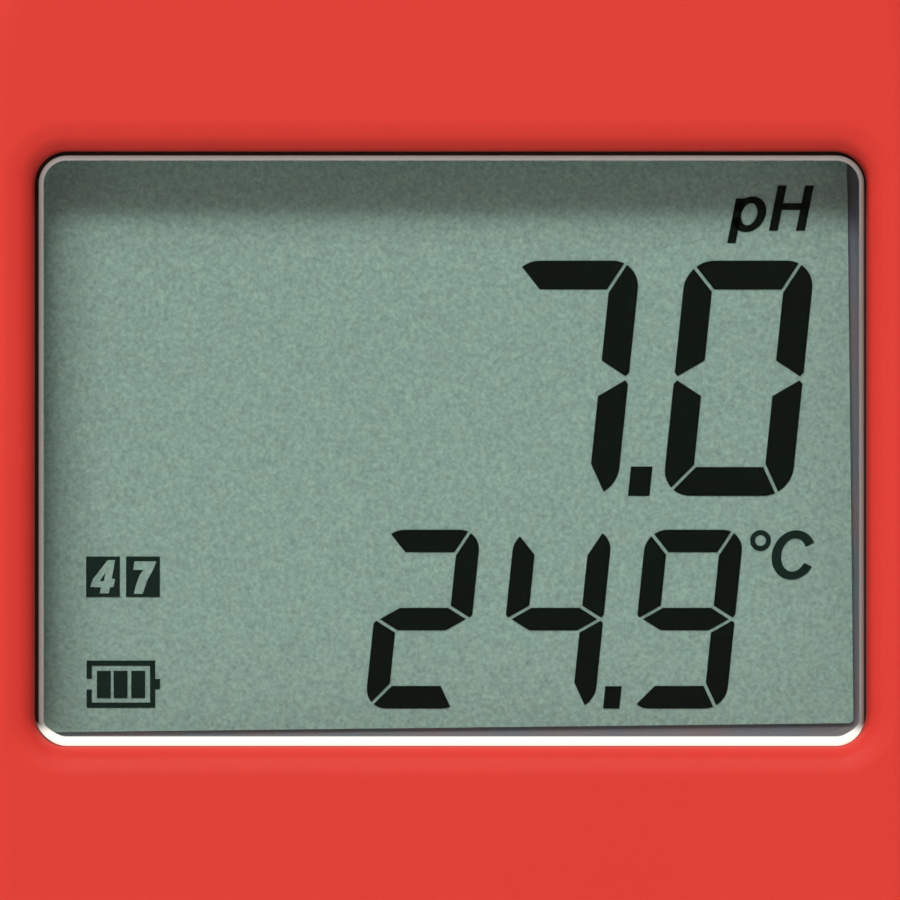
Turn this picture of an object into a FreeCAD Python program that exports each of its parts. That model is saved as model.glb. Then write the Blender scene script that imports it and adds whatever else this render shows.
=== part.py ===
"""A pocket pH tester, standing on its protective cap, as a parametric document.

X runs across the meter, Y from its front (minus) to its back, Z up. The origin is the middle of the foot.
All sizes are millimetres. Driving sizes live in the sheet; every other size is worked out from them.
"""
import FreeCAD, Part
import math
import os
import Sketcher

Vector = FreeCAD.Vector
doc = FreeCAD.newDocument("ph_tester")

# ---------------------------------------------------------------- driving sizes

DRIVING = {
    # housing, seen from the front
    "housing_width": 40.0,
    "housing_depth": 17.0,
    "housing_height": 109.6,
    "neck_width": 28.0,
    "neck_height": 13.4,
    "shoulder_rise": 22.0,
    "shoulder_radius": 60.0,
    "shoulder_fill": 0.96,
    "top_corner_radius": 9.0,
    "front_edge_radius": 2.5,
    "rear_edge_radius": 4.5,
    "wall": 1.8,
    "front_shell_depth": 10.0,
    "seal_height": 0.6,
    "seal_inset": 0.25,
    "seal_overhang": 0.3,
    "groove_length": 15.0,
    "groove_width": 1.2,
    "groove_depth": 0.4,
    "groove_pitch": 2.8,
    "grooves_below_button": 19.0,
    "grooves_below_cap_rim": 14.0,
    # display window and lens
    "window_width": 33.02,
    "window_height": 23.6,
    "window_corner": 1.3,
    "window_edge_radius": 0.55,
    "window_below_top": 12.0,
    "lens_gap": 0.175,
    "lens_gap_height": 0.1175,
    "lens_drop": 0.0825,
    "lens_shift": 0.036,
    "lens_sink": 0.35,
    "lens_edge_radius": 0.24,
    "lens_lip": 1.15,
    "lens_flange_thickness": 1.0,
    "tape_thickness": 0.15,
    "tape_inset": 0.3,
    # display cell
    "film_width": 32.8,
    "film_height": 23.3,
    "film_thickness": 0.2,
    "film_turn": 0.65,
    "film_left": 0.46,
    "film_rise": 0.52,
    "film_gap": 0.1,
    "film_corner": 0.2,
    "glass_width": 34.4,
    "glass_height": 25.0,
    "glass_ledge": 3.6,
    "glass_corner": 0.3,
    "glass_thickness": 0.7,
    "holder_wall": 0.6,
    "holder_play": 0.1,
    "holder_corner": 0.8,
    "reflector_inset": 0.3,
    "zebra_thickness": 1.5,
    "zebra_length": 31.0,
    "zebra_height": 2.65,
    # circuit board
    "board_thickness": 1.0,
    "board_width": 35.2,
    "board_below_top": 8.9,
    "board_waist_width": 26.4,
    "board_tail_width": 10.4,
    "board_tail_height": 11.4,
    "board_taper_rise": 5.0,
    "board_screw_spacing": 28.0,
    "board_screw_drop": 3.6,
    "board_screw_radius": 0.9,
    "board_screw_length": 5.0,
    "board_screw_head_radius": 1.7,
    "board_screw_head_height": 1.0,
    "board_screw_slot_width": 0.4,
    "board_screw_slot_depth": 0.4,
    "board_post_radius": 2.0,
    # what sits on the board, placed from the middle of the label behind it
    "controller_size": 7.0,
    "controller_left": 4.0,
    "controller_rise": 9.0,
    "amplifier_width": 4.9,
    "amplifier_height": 3.85,
    "amplifier_right": 3.0,
    "amplifier_drop": 6.0,
    "chip_thickness": 1.0,
    "chip_bevel": 0.2,
    "chip_corner": 0.25,
    "crystal_length": 8.0,
    "crystal_width": 3.2,
    "crystal_depth": 2.56,
    "crystal_edge_radius": 0.3,
    "crystal_right": 6.0,
    "crystal_rise": 8.0,
    "small_part_length": 1.6,
    "small_part_width": 0.8,
    "small_part_pitch": 2.6,
    "small_part_corner": 0.08,
    "resistor_thickness": 0.5,
    "resistor_drop": 1.0,
    "capacitor_thickness": 0.8,
    "capacitor_drop": 11.0,
    # button and switch
    "button_width": 15.0,
    "button_height": 9.5,
    "button_corner": 3.6,
    "button_gap": 0.2,
    "button_below_window": 16.5,
    "button_edge_radius": 0.25,
    "button_sink": 0.15,
    "button_travel": 0.6,
    "dish_margin": 1.7,
    "dish_depth": 0.45,
    "key_lip": 1.0,
    "key_lip_thickness": 0.8,
    "key_rest_gap": 0.1,
    "key_edge_radius": 0.3,
    "boot_rim": 1.2,
    "boot_web": 0.5,
    "boot_play": 0.3,
    "boot_wall": 1.2,
    "boot_gap": 0.05,
    "boot_web_gap": 0.02,
    "boss_margin": 0.4,
    "switch_size": 6.2,
    "switch_height": 1.7,
    "switch_corner": 0.4,
    "switch_bevel": 0.2,
    "plunger_bevel": 0.15,
    "switch_travel": 0.25,
    "plunger_radius": 1.6,
    "plunger_stand": 0.4,
    "plunger_depth": 1.02,
    "plunger_gap": 0.05,
    # coin cell, its contacts and its cover
    "cell_diameter": 20.0,
    "cell_thickness": 3.2,
    "cell_below_top": 25.2,
    "cell_lift": 1.5,
    "cell_step": 0.4,
    "cell_step_inset": 1.2,
    "cell_edge_radius": 0.5,
    "contact_thickness": 0.25,
    "contact_width": 3.0,
    "contact_foot_length": 4.0,
    "contact_foot_left": 6.0,
    "contact_tip_right": 5.0,
    "contact_bend_right": 2.0,
    "side_contact_foot": 2.6,
    "side_contact_gap": 0.01,
    "bore_gap": 0.4,
    "plug_gap": 0.15,
    "lug_reach": 1.05,
    "lug_height": 1.0,
    "lug_angle": 24.0,
    "lug_gap": 0.1,
    "lug_end_gap": 0.15,
    "skirt_wall": 1.2,
    "skirt_gap": 0.3,
    "slot_angle": 30.0,
    "lip_height": 1.5,
    "cover_radius": 13.2,
    "cover_gap": 0.15,
    "cover_sink": 0.2,
    "cover_seat_depth": 1.8,
    "cover_plate_gap": 0.05,
    "cover_plug_wall": 1.4,
    "cover_floor": 0.5,
    "cover_edge_radius": 0.3,
    "cover_seal_radius": 11.9,
    "cover_seal_width": 1.0,
    "cover_seal_height": 0.7,
    "cover_seal_gap": 0.05,
    "cover_seal_edge_radius": 0.2,
    "cover_seal_seat_gap": 0.01,
    "coin_slot_length": 15.0,
    "coin_slot_width": 2.2,
    "coin_slot_depth": 0.8,
    # housing screws
    "screw_radius": 1.0,
    "screw_head_radius": 1.9,
    "screw_head_height": 1.3,
    "screw_length": 8.0,
    "screw_hole_gap": 0.02,
    "screw_pass_gap": 0.2,
    "screw_hole_rest": 0.5,
    "recess_length": 2.4,
    "recess_width": 0.55,
    "recess_depth": 0.8,
    "post_radius": 2.3,
    "well_wall": 1.1,
    "well_depth": 3.2,
    "top_screw_spacing": 26.0,
    "top_screw_below_top": 5.6,
    "neck_screw_spacing": 16.0,
    "neck_screw_height": 17.4,
    # rear label
    "label_width": 22.0,
    "label_height": 26.0,
    "label_corner": 2.0,
    "label_recess": 0.3,
    "label_thickness": 0.25,
    "label_gap": 0.15,
    "label_below_cell": 38.0,
    # probe
    "flange_thickness": 2.0,
    "gasket_thickness": 0.4,
    "plug_width": 23.8,
    "plug_depth": 12.8,
    "plug_corner": 3.0,
    "plug_height": 7.0,
    "spigot_width": 24.0,
    "spigot_depth": 13.0,
    "spigot_corner": 3.5,
    "spigot_length": 12.0,
    "cap_seal_drop": 5.0,
    "cap_seal_height": 1.0,
    "cap_seal_bite": 0.8,
    "cap_seal_gap": 0.05,
    "cap_seal_edge_radius": 0.35,
    "gasket_inset": 0.3,
    "pot_gap": 0.02,
    "electrode_stop": 4.0,
    "electrode_radius": 4.6,
    "electrode_wall": 0.8,
    "electrode_length": 21.0,
    "tube_edge_radius": 0.3,
    "bulb_radius": 4.3,
    "bulb_wall": 0.4,
    "bulb_drop": 2.03,
    "stem_radius": 1.9,
    "stem_wall": 0.5,
    "stem_seal_height": 2.0,
    "stem_seal_rise": 2.4,
    "stem_bite": 0.5,
    "stem_drop": 1.0,
    "silver_reach": 1.0,
    "silver_radius": 0.4,
    "reference_radius": 0.3,
    "junction_radius": 0.6,
    "junction_height": 8.0,
    "junction_sink": 0.08,
    "junction_length": 0.77,
    "sheath_radius": 1.6,
    "sheath_wall": 0.25,
    "sheath_length": 17.0,
    "sheath_tip_flat": 0.1,
    "bead_radius": 0.9,
    "bead_length": 2.16,
    "lead_depth": 0.6,
    "lead_radius": 0.2,
    "lead_spread": 0.5,
    "probe_board_width": 20.0,
    "probe_board_depth": 9.0,
    "pin_size": 0.64,
    "pin_pitch": 2.54,
    "pin_length": 6.5,
    "pin_bevel": 0.12,
    # protective cap, which is also the stand
    "cap_height": 48.0,
    "cap_gap": 0.2,
    "cap_wall": 1.8,
    "cap_floor": 1.8,
    "cap_corner": 3.7,
    "cap_seal_play": 0.03,
    "foot_radius": 0.8,
    "rim_bevel": 0.4,
    "sponge_height": 7.0,
    "sponge_play": 0.8,
    "sponge_edge_radius": 0.8,
}

sheet = doc.addObject("Spreadsheet::Sheet", "sizes")
for row, (alias, number) in enumerate(DRIVING.items(), start=1):
    sheet.set(f"A{row}", alias.replace("_", " "))
    sheet.set(f"B{row}", str(number))
    sheet.setAlias(f"B{row}", alias)
doc.recompute()


class Size:
    """A length as a number and as the expression over the sheet that gives it."""

    def __init__(self, number, text):
        self.number = number
        self.text = text

    def join(self, sign, number, other):
        return Size(number, f"({self.text} {sign} {as_size(other).text})")

    def __add__(self, other):
        return self.join("+", self.number + as_size(other).number, other)

    def __sub__(self, other):
        return self.join("-", self.number - as_size(other).number, other)

    def __mul__(self, other):
        return self.join("*", self.number * as_size(other).number, other)

    def __truediv__(self, other):
        return self.join("/", self.number / as_size(other).number, other)

    def __radd__(self, other):
        return as_size(other) + self

    def __rsub__(self, other):
        return as_size(other) - self

    def __rmul__(self, other):
        return as_size(other) * self

    def __neg__(self):
        return Size(-self.number, f"(0 - {self.text})")


def as_size(value):
    """A plain number joins an expression as it is."""
    return value if isinstance(value, Size) else Size(float(value), repr(float(value)))


def smaller(first, second):
    return Size(min(first.number, second.number), f"min({first.text}; {second.text})")


def root(size):
    return Size(math.sqrt(size.number), f"sqrt({size.text})")


class Sheet:
    """Each driving size by its alias."""

    def __getattr__(self, alias):
        return Size(float(sheet.get(alias)), f"sizes.{alias}")


d = Sheet()

# ---------------------------------------------------------------- levels worked out from the sizes

FLANGE_Z = d.cap_height + d.cap_gap
GASKET_Z = FLANGE_Z + d.flange_thickness
HOUSING_Z = GASKET_Z + d.gasket_thickness
SHOULDER_Z = HOUSING_Z + d.neck_height + d.shoulder_rise
TOP_Z = HOUSING_Z + d.housing_height
WINDOW_Z = TOP_Z - d.window_below_top - d.window_height / 2
BUTTON_Z = WINDOW_Z - d.window_height / 2 - d.button_below_window
CELL_Z = TOP_Z - d.cell_below_top
LABEL_Z = CELL_Z - d.label_below_cell
PLUG_TOP_Z = HOUSING_Z + d.plug_height
PROBE_BOARD_Z = PLUG_TOP_Z + d.board_thickness
ELECTRODE_Z = FLANGE_Z - d.electrode_length
ELECTRODE_TOP_Z = PLUG_TOP_Z - d.electrode_stop
BULB_Z = ELECTRODE_Z - d.bulb_drop
SHEATH_Z = FLANGE_Z - d.sheath_length

FRONT_Y = -d.housing_depth / 2
REAR_Y = d.housing_depth / 2
SPLIT_Y = FRONT_Y + d.front_shell_depth
REAR_SPLIT_Y = SPLIT_Y + d.seal_height
INNER_FRONT_Y = FRONT_Y + d.wall
INNER_REAR_Y = REAR_Y - d.wall
LENS_FLANGE_Y = INNER_FRONT_Y + d.tape_thickness
LENS_BACK_Y = LENS_FLANGE_Y + d.lens_flange_thickness
FILM_Y = LENS_BACK_Y + d.film_gap
FRONT_GLASS_Y = FILM_Y + d.film_thickness
REAR_GLASS_Y = FRONT_GLASS_Y + d.glass_thickness
REFLECTOR_Y = REAR_GLASS_Y + d.glass_thickness
REFLECTOR_BACK_Y = REFLECTOR_Y + d.film_thickness
BOARD_Y = REAR_GLASS_Y + d.zebra_height
BOARD_BACK_Y = BOARD_Y + d.board_thickness
CELL_FRONT_Y = BOARD_BACK_Y + d.cell_lift
CELL_BACK_Y = CELL_FRONT_Y + d.cell_thickness
SEAT_Y = REAR_Y - d.cover_seat_depth
LIP_Y = SEAT_Y - d.lip_height
PLUG_FRONT_Y = LIP_Y - d.lug_gap - d.lug_height
KEY_FLANGE_Y = INNER_FRONT_Y + d.key_rest_gap
KEY_BACK_Y = KEY_FLANGE_Y + d.key_lip_thickness
BOOT_WEB_Y = KEY_BACK_Y + d.boot_web_gap
BOOT_BACK_Y = BOOT_WEB_Y + d.boot_web
SWITCH_Y = BOARD_Y - d.switch_height
PLUNGER_Y = SWITCH_Y - d.plunger_stand
SCREW_SEAT_Y = REAR_Y - d.well_depth

BORE_RADIUS = d.cell_diameter / 2 + d.bore_gap
PLUG_RADIUS = BORE_RADIUS - d.plug_gap
RECESS_RADIUS = BORE_RADIUS + d.lug_reach + d.lug_end_gap
PINS = 4
PROBE_X = d.pin_pitch * ((PINS - 1) / 2)

# the shoulder's two bends share its slope, so the slope's length limits their radius
SHOULDER_OUT = (d.housing_width - d.neck_width) / 2
SLOPE = root(SHOULDER_OUT * SHOULDER_OUT + d.shoulder_rise * d.shoulder_rise)
SLOPE_RADIUS = SLOPE * SHOULDER_OUT / (SLOPE - d.shoulder_rise) / 2
SHOULDER_RADIUS = smaller(d.shoulder_radius, SLOPE_RADIUS * d.shoulder_fill)

NEARLY_HALF = 0.48  # a slot's corner, as a share of its width: a full half would leave no straight end
BITE = 0.3  # how far a feature reaches into the one that it joins
PAST = 1.0  # how far a cut runs past the face that it starts from
MOSTLY = 0.8  # a rounding, as a share of the step or radius that it softens
SLOT_REACH = 1.6  # a driver slot's length, in radii of its head
OUTSIDE = 0.1  # an edge counts as outside a line when it is this far beyond it
SLACK = 0.01  # how closely a level has to agree
EXACT = 1e-6
SPECK = 1e-4  # a solid with less volume than this, in cubic millimetres, is what a failed cut leaves
LUGS = 3
GROOVES = 5
RESISTORS = 6
CAPACITORS = 4

# ---------------------------------------------------------------- ways of drawing

QUARTER = math.pi / 2


def bind(thing, name, size):
    """Sets one property from a size, as an expression where the size comes from the sheet."""
    size = as_size(size)
    if "sizes." in size.text:
        thing.setExpression(name, size.text)
    else:
        setattr(thing, name, size.number)


def new_body(label, x=0, y=0, z=0):
    """An empty body whose own origin is at x, y, z."""
    body = doc.addObject("PartDesign::Body", label)
    body.Label = label
    place = [as_size(x), as_size(y), as_size(z)]
    body.Placement.Base = Vector(*[along_axis.number for along_axis in place])
    for axis, size in zip("xyz", place):
        if "sizes." in size.text:
            body.setExpression(f"Placement.Base.{axis}", size.text)
    return body


NORMAL_SIGN = {"XY_Plane": 1, "XZ_Plane": -1, "YZ_Plane": 1}


def attach(body, thing, plane, level=0):
    """Lays a sketch or solid on one of the body's own origin planes, at a level along the world axis."""
    support = [feature for feature in body.Origin.OriginFeatures if feature.Role == plane][0]
    thing.AttachmentSupport = [(support, "")]
    thing.MapMode = "FlatFace"
    shift = as_size(level) * NORMAL_SIGN[plane]
    thing.AttachmentOffset.Base = Vector(0, 0, shift.number)
    if "sizes." in shift.text:
        thing.setExpression("AttachmentOffset.Base.z", shift.text)


def new_sketch(body, plane, level=0):
    drawing = body.newObject("Sketcher::SketchObject", "drawing")
    attach(body, drawing, plane, level)
    return drawing


def constrain(drawing, size, *rule):
    """Adds one measured constraint, driven by the sheet where the size comes from it."""
    size = as_size(size)
    index = drawing.addConstraint(Sketcher.Constraint(*rule, size.number))
    if "sizes." in size.text:
        drawing.setExpression(f"Constraints[{index}]", size.text)


def hold(drawing, curve, point, x=None, y=None):
    """Holds a sketch point at its distances from the origin."""
    if x is not None:
        constrain(drawing, x, "DistanceX", -1, 1, curve, point)
    if y is not None:
        constrain(drawing, y, "DistanceY", -1, 1, curve, point)


def polygon(drawing, corners):
    """Straight edges through the corners, each corner held by its two distances."""
    corners = [(as_size(x), as_size(y)) for x, y in corners]
    points = [Vector(x.number, y.number, 0) for x, y in corners]
    count = len(points)
    edges = []
    for i in range(count):
        edges.append(drawing.addGeometry(Part.LineSegment(points[i], points[(i + 1) % count])))
    for i in range(count):
        drawing.addConstraint(Sketcher.Constraint("Coincident", edges[i], 2, edges[(i + 1) % count], 1))
    for edge, (x, y) in zip(edges, corners):
        hold(drawing, edge, 1, x, y)


def bent_polygon(drawing, corners):
    """Straight edges between corners given as x, y and a radius, or None for a sharp corner.

    A round corner is an arc tangent to its two edges, and both edges still point at the corner.
    """
    corners = [(as_size(x), as_size(y), radius) for x, y, radius in corners]
    spots = [Vector(x.number, y.number, 0) for x, y, _ in corners]
    count = len(spots)
    ways = [(spots[(i + 1) % count] - spots[i]).normalize() for i in range(count)]
    starts, ends, arcs = list(spots), list(spots), {}
    for i, (_, _, radius) in enumerate(corners):
        if radius is None:
            continue
        before, after = ways[i - 1], ways[i]
        turn = before.getAngle(after)
        side = 1 if before.cross(after).z > 0 else -1
        reach = radius.number * math.tan(turn / 2)
        starts[i], ends[i] = spots[i] - before * reach, spots[i] + after * reach
        middle = starts[i] + Vector(-before.y, before.x, 0) * (radius.number * side)
        first, last = (starts[i], ends[i]) if side > 0 else (ends[i], starts[i])
        angles = [math.atan2(spot.y - middle.y, spot.x - middle.x) for spot in (first, last)]
        ring = Part.Circle(middle, Vector(0, 0, 1), radius.number)
        arcs[i] = (drawing.addGeometry(Part.ArcOfCircle(ring, *angles)), side)
    lines = []
    for i in range(count):
        lines.append(drawing.addGeometry(Part.LineSegment(ends[i], starts[(i + 1) % count])))
    for i, (x, y, radius) in enumerate(corners):
        if radius is None:
            drawing.addConstraint(Sketcher.Constraint("Coincident", lines[i - 1], 2, lines[i], 1))
            hold(drawing, lines[i], 1, x, y)
            continue
        arc, side = arcs[i]
        drawing.addConstraint(Sketcher.Constraint("Tangent", lines[i - 1], 2, arc, 1 if side > 0 else 2))
        drawing.addConstraint(Sketcher.Constraint("Tangent", lines[i], 1, arc, 2 if side > 0 else 1))
        constrain(drawing, radius, "Radius", arc)
        corner = drawing.addGeometry(Part.Point(spots[i]), True)
        hold(drawing, corner, 1, x, y)
        for line in (lines[i - 1], lines[i]):
            drawing.addConstraint(Sketcher.Constraint("PointOnObject", corner, 1, line))


def rectangle(drawing, width, height, x=0, y=0):
    """A rectangle about a middle point."""
    half_w = as_size(width) / 2
    half_h = as_size(height) / 2
    left, right = as_size(x) - half_w, as_size(x) + half_w
    low, high = as_size(y) - half_h, as_size(y) + half_h
    polygon(drawing, [(left, low), (right, low), (right, high), (left, high)])


def rounded(drawing, width, height, corner, x=0, y=0):
    """A rectangle about a middle point with round corners: four sides joined by four tangent arcs."""
    left, right = as_size(x) - as_size(width) / 2, as_size(x) + as_size(width) / 2
    low, high = as_size(y) - as_size(height) / 2, as_size(y) + as_size(height) / 2
    x0, x1, y0, y1 = left.number, right.number, low.number, high.number
    r = as_size(corner).number
    sides = [
        ((x0 + r, y0), (x1 - r, y0)),
        ((x1, y0 + r), (x1, y1 - r)),
        ((x1 - r, y1), (x0 + r, y1)),
        ((x0, y1 - r), (x0, y0 + r)),
    ]
    middles = [(x1 - r, y0 + r), (x1 - r, y1 - r), (x0 + r, y1 - r), (x0 + r, y0 + r)]
    lines = [drawing.addGeometry(Part.LineSegment(Vector(*a, 0), Vector(*b, 0))) for a, b in sides]
    arcs = []
    for i, middle in enumerate(middles):
        ring = Part.Circle(Vector(*middle, 0), Vector(0, 0, 1), r)
        arcs.append(drawing.addGeometry(Part.ArcOfCircle(ring, (i - 1) * QUARTER, i * QUARTER)))
    for i in range(4):
        drawing.addConstraint(Sketcher.Constraint("Tangent", lines[i], 2, arcs[i], 1))
        drawing.addConstraint(Sketcher.Constraint("Tangent", arcs[i], 2, lines[(i + 1) % 4], 1))
    for arc in arcs[1:]:
        drawing.addConstraint(Sketcher.Constraint("Equal", arcs[0], arc))
    for i, way in enumerate(["Horizontal", "Vertical", "Horizontal", "Vertical"]):
        drawing.addConstraint(Sketcher.Constraint(way, lines[i]))
    constrain(drawing, corner, "Radius", arcs[0])
    hold(drawing, lines[0], 1, y=low)
    hold(drawing, lines[1], 1, x=right)
    hold(drawing, lines[2], 1, y=high)
    hold(drawing, lines[3], 1, x=left)


def circle(drawing, radius, x=0, y=0):
    middle = Vector(as_size(x).number, as_size(y).number, 0)
    curve = drawing.addGeometry(Part.Circle(middle, Vector(0, 0, 1), as_size(radius).number))
    constrain(drawing, radius, "Radius", curve)
    hold(drawing, curve, 3, as_size(x), as_size(y))


def settle(feature, body):
    """Makes the feature the body's tip and recomputes."""
    body.Tip = feature
    doc.recompute()
    if feature.Shape.isNull() or "Invalid" in feature.State:
        raise RuntimeError(f"{body.Label}: {feature.Label} failed")
    return feature


def fill(body, plane, draw, low, high):
    """Adds material between two levels of the plane's axis, in the shape that draw(sketch) gives."""
    low, high = as_size(low), as_size(high)
    drawing = new_sketch(body, plane, low if NORMAL_SIGN[plane] > 0 else high)
    draw(drawing)
    feature = body.newObject("PartDesign::Pad", "pad")
    feature.Profile = drawing
    bind(feature, "Length", high - low)
    return settle(feature, body)


def carve(body, plane, draw, low, high):
    """Cuts between two levels of the plane's axis, and checks that something was cut."""
    low, high = as_size(low), as_size(high)
    before = body.Tip.Shape.Volume
    drawing = new_sketch(body, plane, high if NORMAL_SIGN[plane] > 0 else low)
    draw(drawing)
    feature = body.newObject("PartDesign::Pocket", "pocket")
    feature.Profile = drawing
    bind(feature, "Length", high - low)
    settle(feature, body)
    if feature.Shape.Volume >= before - EXACT:
        raise RuntimeError(f"{body.Label}: a pocket cut nothing")
    return feature


def turned(body, plane, level, corners, cut=False, angle=None):
    """Adds or cuts a ring: a profile turned about its sketch's vertical axis, whole or over an angle."""
    before = body.Tip.Shape.Volume if cut else 0
    drawing = new_sketch(body, plane, level)
    polygon(drawing, corners)
    feature = body.newObject("PartDesign::Groove" if cut else "PartDesign::Revolution", "turned")
    feature.Profile = drawing
    feature.ReferenceAxis = (drawing, ["V_Axis"])
    feature.Midplane = angle is not None
    bind(feature, "Angle", 360 if angle is None else angle)
    settle(feature, body)
    if cut and feature.Shape.Volume >= before - EXACT:
        raise RuntimeError(f"{body.Label}: a groove cut nothing")
    return feature


def repeat_round(body, feature, count):
    """Repeats a turned feature evenly about its own axis."""
    pattern = body.newObject("PartDesign::PolarPattern", "around")
    pattern.Originals = [feature]
    pattern.Axis = (feature.Profile[0], ["V_Axis"])
    pattern.Angle = 360
    pattern.Occurrences = count
    return settle(pattern, body)


def dress(body, kind, name, size, wanted):
    """Rounds or bevels the tip's edges for which wanted(edge) is true."""
    tip = body.Tip
    names = [f"Edge{i}" for i, edge in enumerate(tip.Shape.Edges, start=1) if wanted(edge)]
    if not names:
        raise RuntimeError(f"{body.Label}: no edge for {name} {as_size(size).text}")
    feature = body.newObject(kind, name)
    feature.Base = (tip, names)
    bind(feature, "Radius" if kind.endswith("Fillet") else "Size", size)
    return settle(feature, body)


def round_edges(body, radius, wanted):
    return dress(body, "PartDesign::Fillet", "rounding", radius, wanted)


def bevel_edges(body, size, wanted):
    return dress(body, "PartDesign::Chamfer", "bevel", size, wanted)


def near(value, size):
    return abs(value - as_size(size).number) < SLACK


def along(edge, axis):
    """True for a straight edge parallel to an axis."""
    if not isinstance(edge.Curve, (Part.Line, Part.LineSegment)):
        return False
    return abs(abs(edge.tangentAt(edge.FirstParameter)[axis]) - 1) < EXACT


def at_level(axis, size, reach_x=None, reach_z=None):
    """A test for edges that lie wholly at one level of an axis, within a reach of the other two."""

    def test(edge):
        box = edge.BoundBox
        low = (box.XMin, box.YMin, box.ZMin)
        high = (box.XMax, box.YMax, box.ZMax)
        if not (near(low[axis], size) and near(high[axis], size)):
            return False
        if reach_x is not None and max(-low[0], high[0]) > as_size(reach_x).number + SLACK:
            return False
        if reach_z is None:
            return True
        return reach_z[0].number - SLACK < low[2] and high[2] < reach_z[1].number + SLACK

    return test


PARTS = []


def part(body):
    """Counts a finished body among the parts that are written out."""
    PARTS.append(body)
    return body


def plate(label, width, height, corner, front, back, z):
    """A flat sheet facing the front with round corners."""
    body = new_body(label)
    fill(body, "XZ_Plane", lambda s: rounded(s, width, height, corner, 0, z), front, back)
    return body


# ---------------------------------------------------------------- housing


def draw_outline(drawing, inset, bottom):
    """The housing from the front, pulled in by inset: a neck, shoulders of two bends each, round top corners.

    The bends turn opposite ways, so the lower one's radius grows with the inset and the others shrink.
    """
    inset = as_size(inset)
    neck, half = d.neck_width / 2 - inset, d.housing_width / 2 - inset
    right = [
        (neck, as_size(bottom), None),
        (neck, HOUSING_Z + d.neck_height, SHOULDER_RADIUS + inset),
        (half, SHOULDER_Z, SHOULDER_RADIUS - inset),
        (half, TOP_Z - inset, d.top_corner_radius - inset),
    ]
    bent_polygon(drawing, right + [(-x, z, radius) for x, z, radius in reversed(right)])


def face_rim(level, inset):
    """A test for the outline's edges at a depth, without the open bottom edge."""
    on_level = at_level(1, level, reach_x=d.housing_width / 2 - inset)

    def test(edge):
        box = edge.BoundBox
        flat = near(box.ZMin, box.ZMax) and box.ZMax < HOUSING_Z.number + SLACK
        return on_level(edge) and not flat

    return test


def shell(label, front, back, face, edge_radius):
    """One half of the housing: the outline between two depths, rounded at its face, then hollowed."""
    body = new_body(label)
    wall = d.wall
    fill(body, "XZ_Plane", lambda s: draw_outline(s, as_size(0), HOUSING_Z), front, back)
    round_edges(body, edge_radius, face_rim(face, as_size(0)))
    if face is FRONT_Y:
        floor, low, high = front + wall, front + wall, back
    else:
        floor, low, high = back - wall, front, back - wall
    carve(body, "XZ_Plane", lambda s: draw_outline(s, wall, HOUSING_Z - wall), low, high)
    round_edges(body, edge_radius - wall, face_rim(floor, wall))
    return body


def screw_places():
    """Where the four housing screws go, as x and z."""
    places = []
    for side in (1, -1):
        places.append((d.top_screw_spacing / 2 * side, TOP_Z - d.top_screw_below_top))
        places.append((d.neck_screw_spacing / 2 * side, HOUSING_Z + d.neck_screw_height))
    return places


def board_screw_places():
    """Where the two board screws go, under the display holder."""
    z = holder_bottom() - d.board_screw_drop
    return [(d.board_screw_spacing / 2, z), (-d.board_screw_spacing / 2, z)]


def holder_bottom():
    return WINDOW_Z - d.glass_height / 2 - d.glass_ledge - d.holder_play - d.holder_wall


def grip_grooves(body, middle, face_y):
    """Short level grooves across a front face, cut one above the other."""
    for i in range(GROOVES):
        z = middle + d.groove_pitch * (i - (GROOVES - 1) / 2)
        carve(
            body,
            "XZ_Plane",
            lambda s: rounded(s, d.groove_length, d.groove_width, d.groove_width * NEARLY_HALF, 0, z),
            face_y - PAST,
            face_y + d.groove_depth,
        )


def boot_size():
    """Width and height of the button's rubber boot."""
    extra = (d.key_lip + d.boot_play + d.boot_rim) * 2
    return d.button_width + extra, d.button_height + extra


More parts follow.
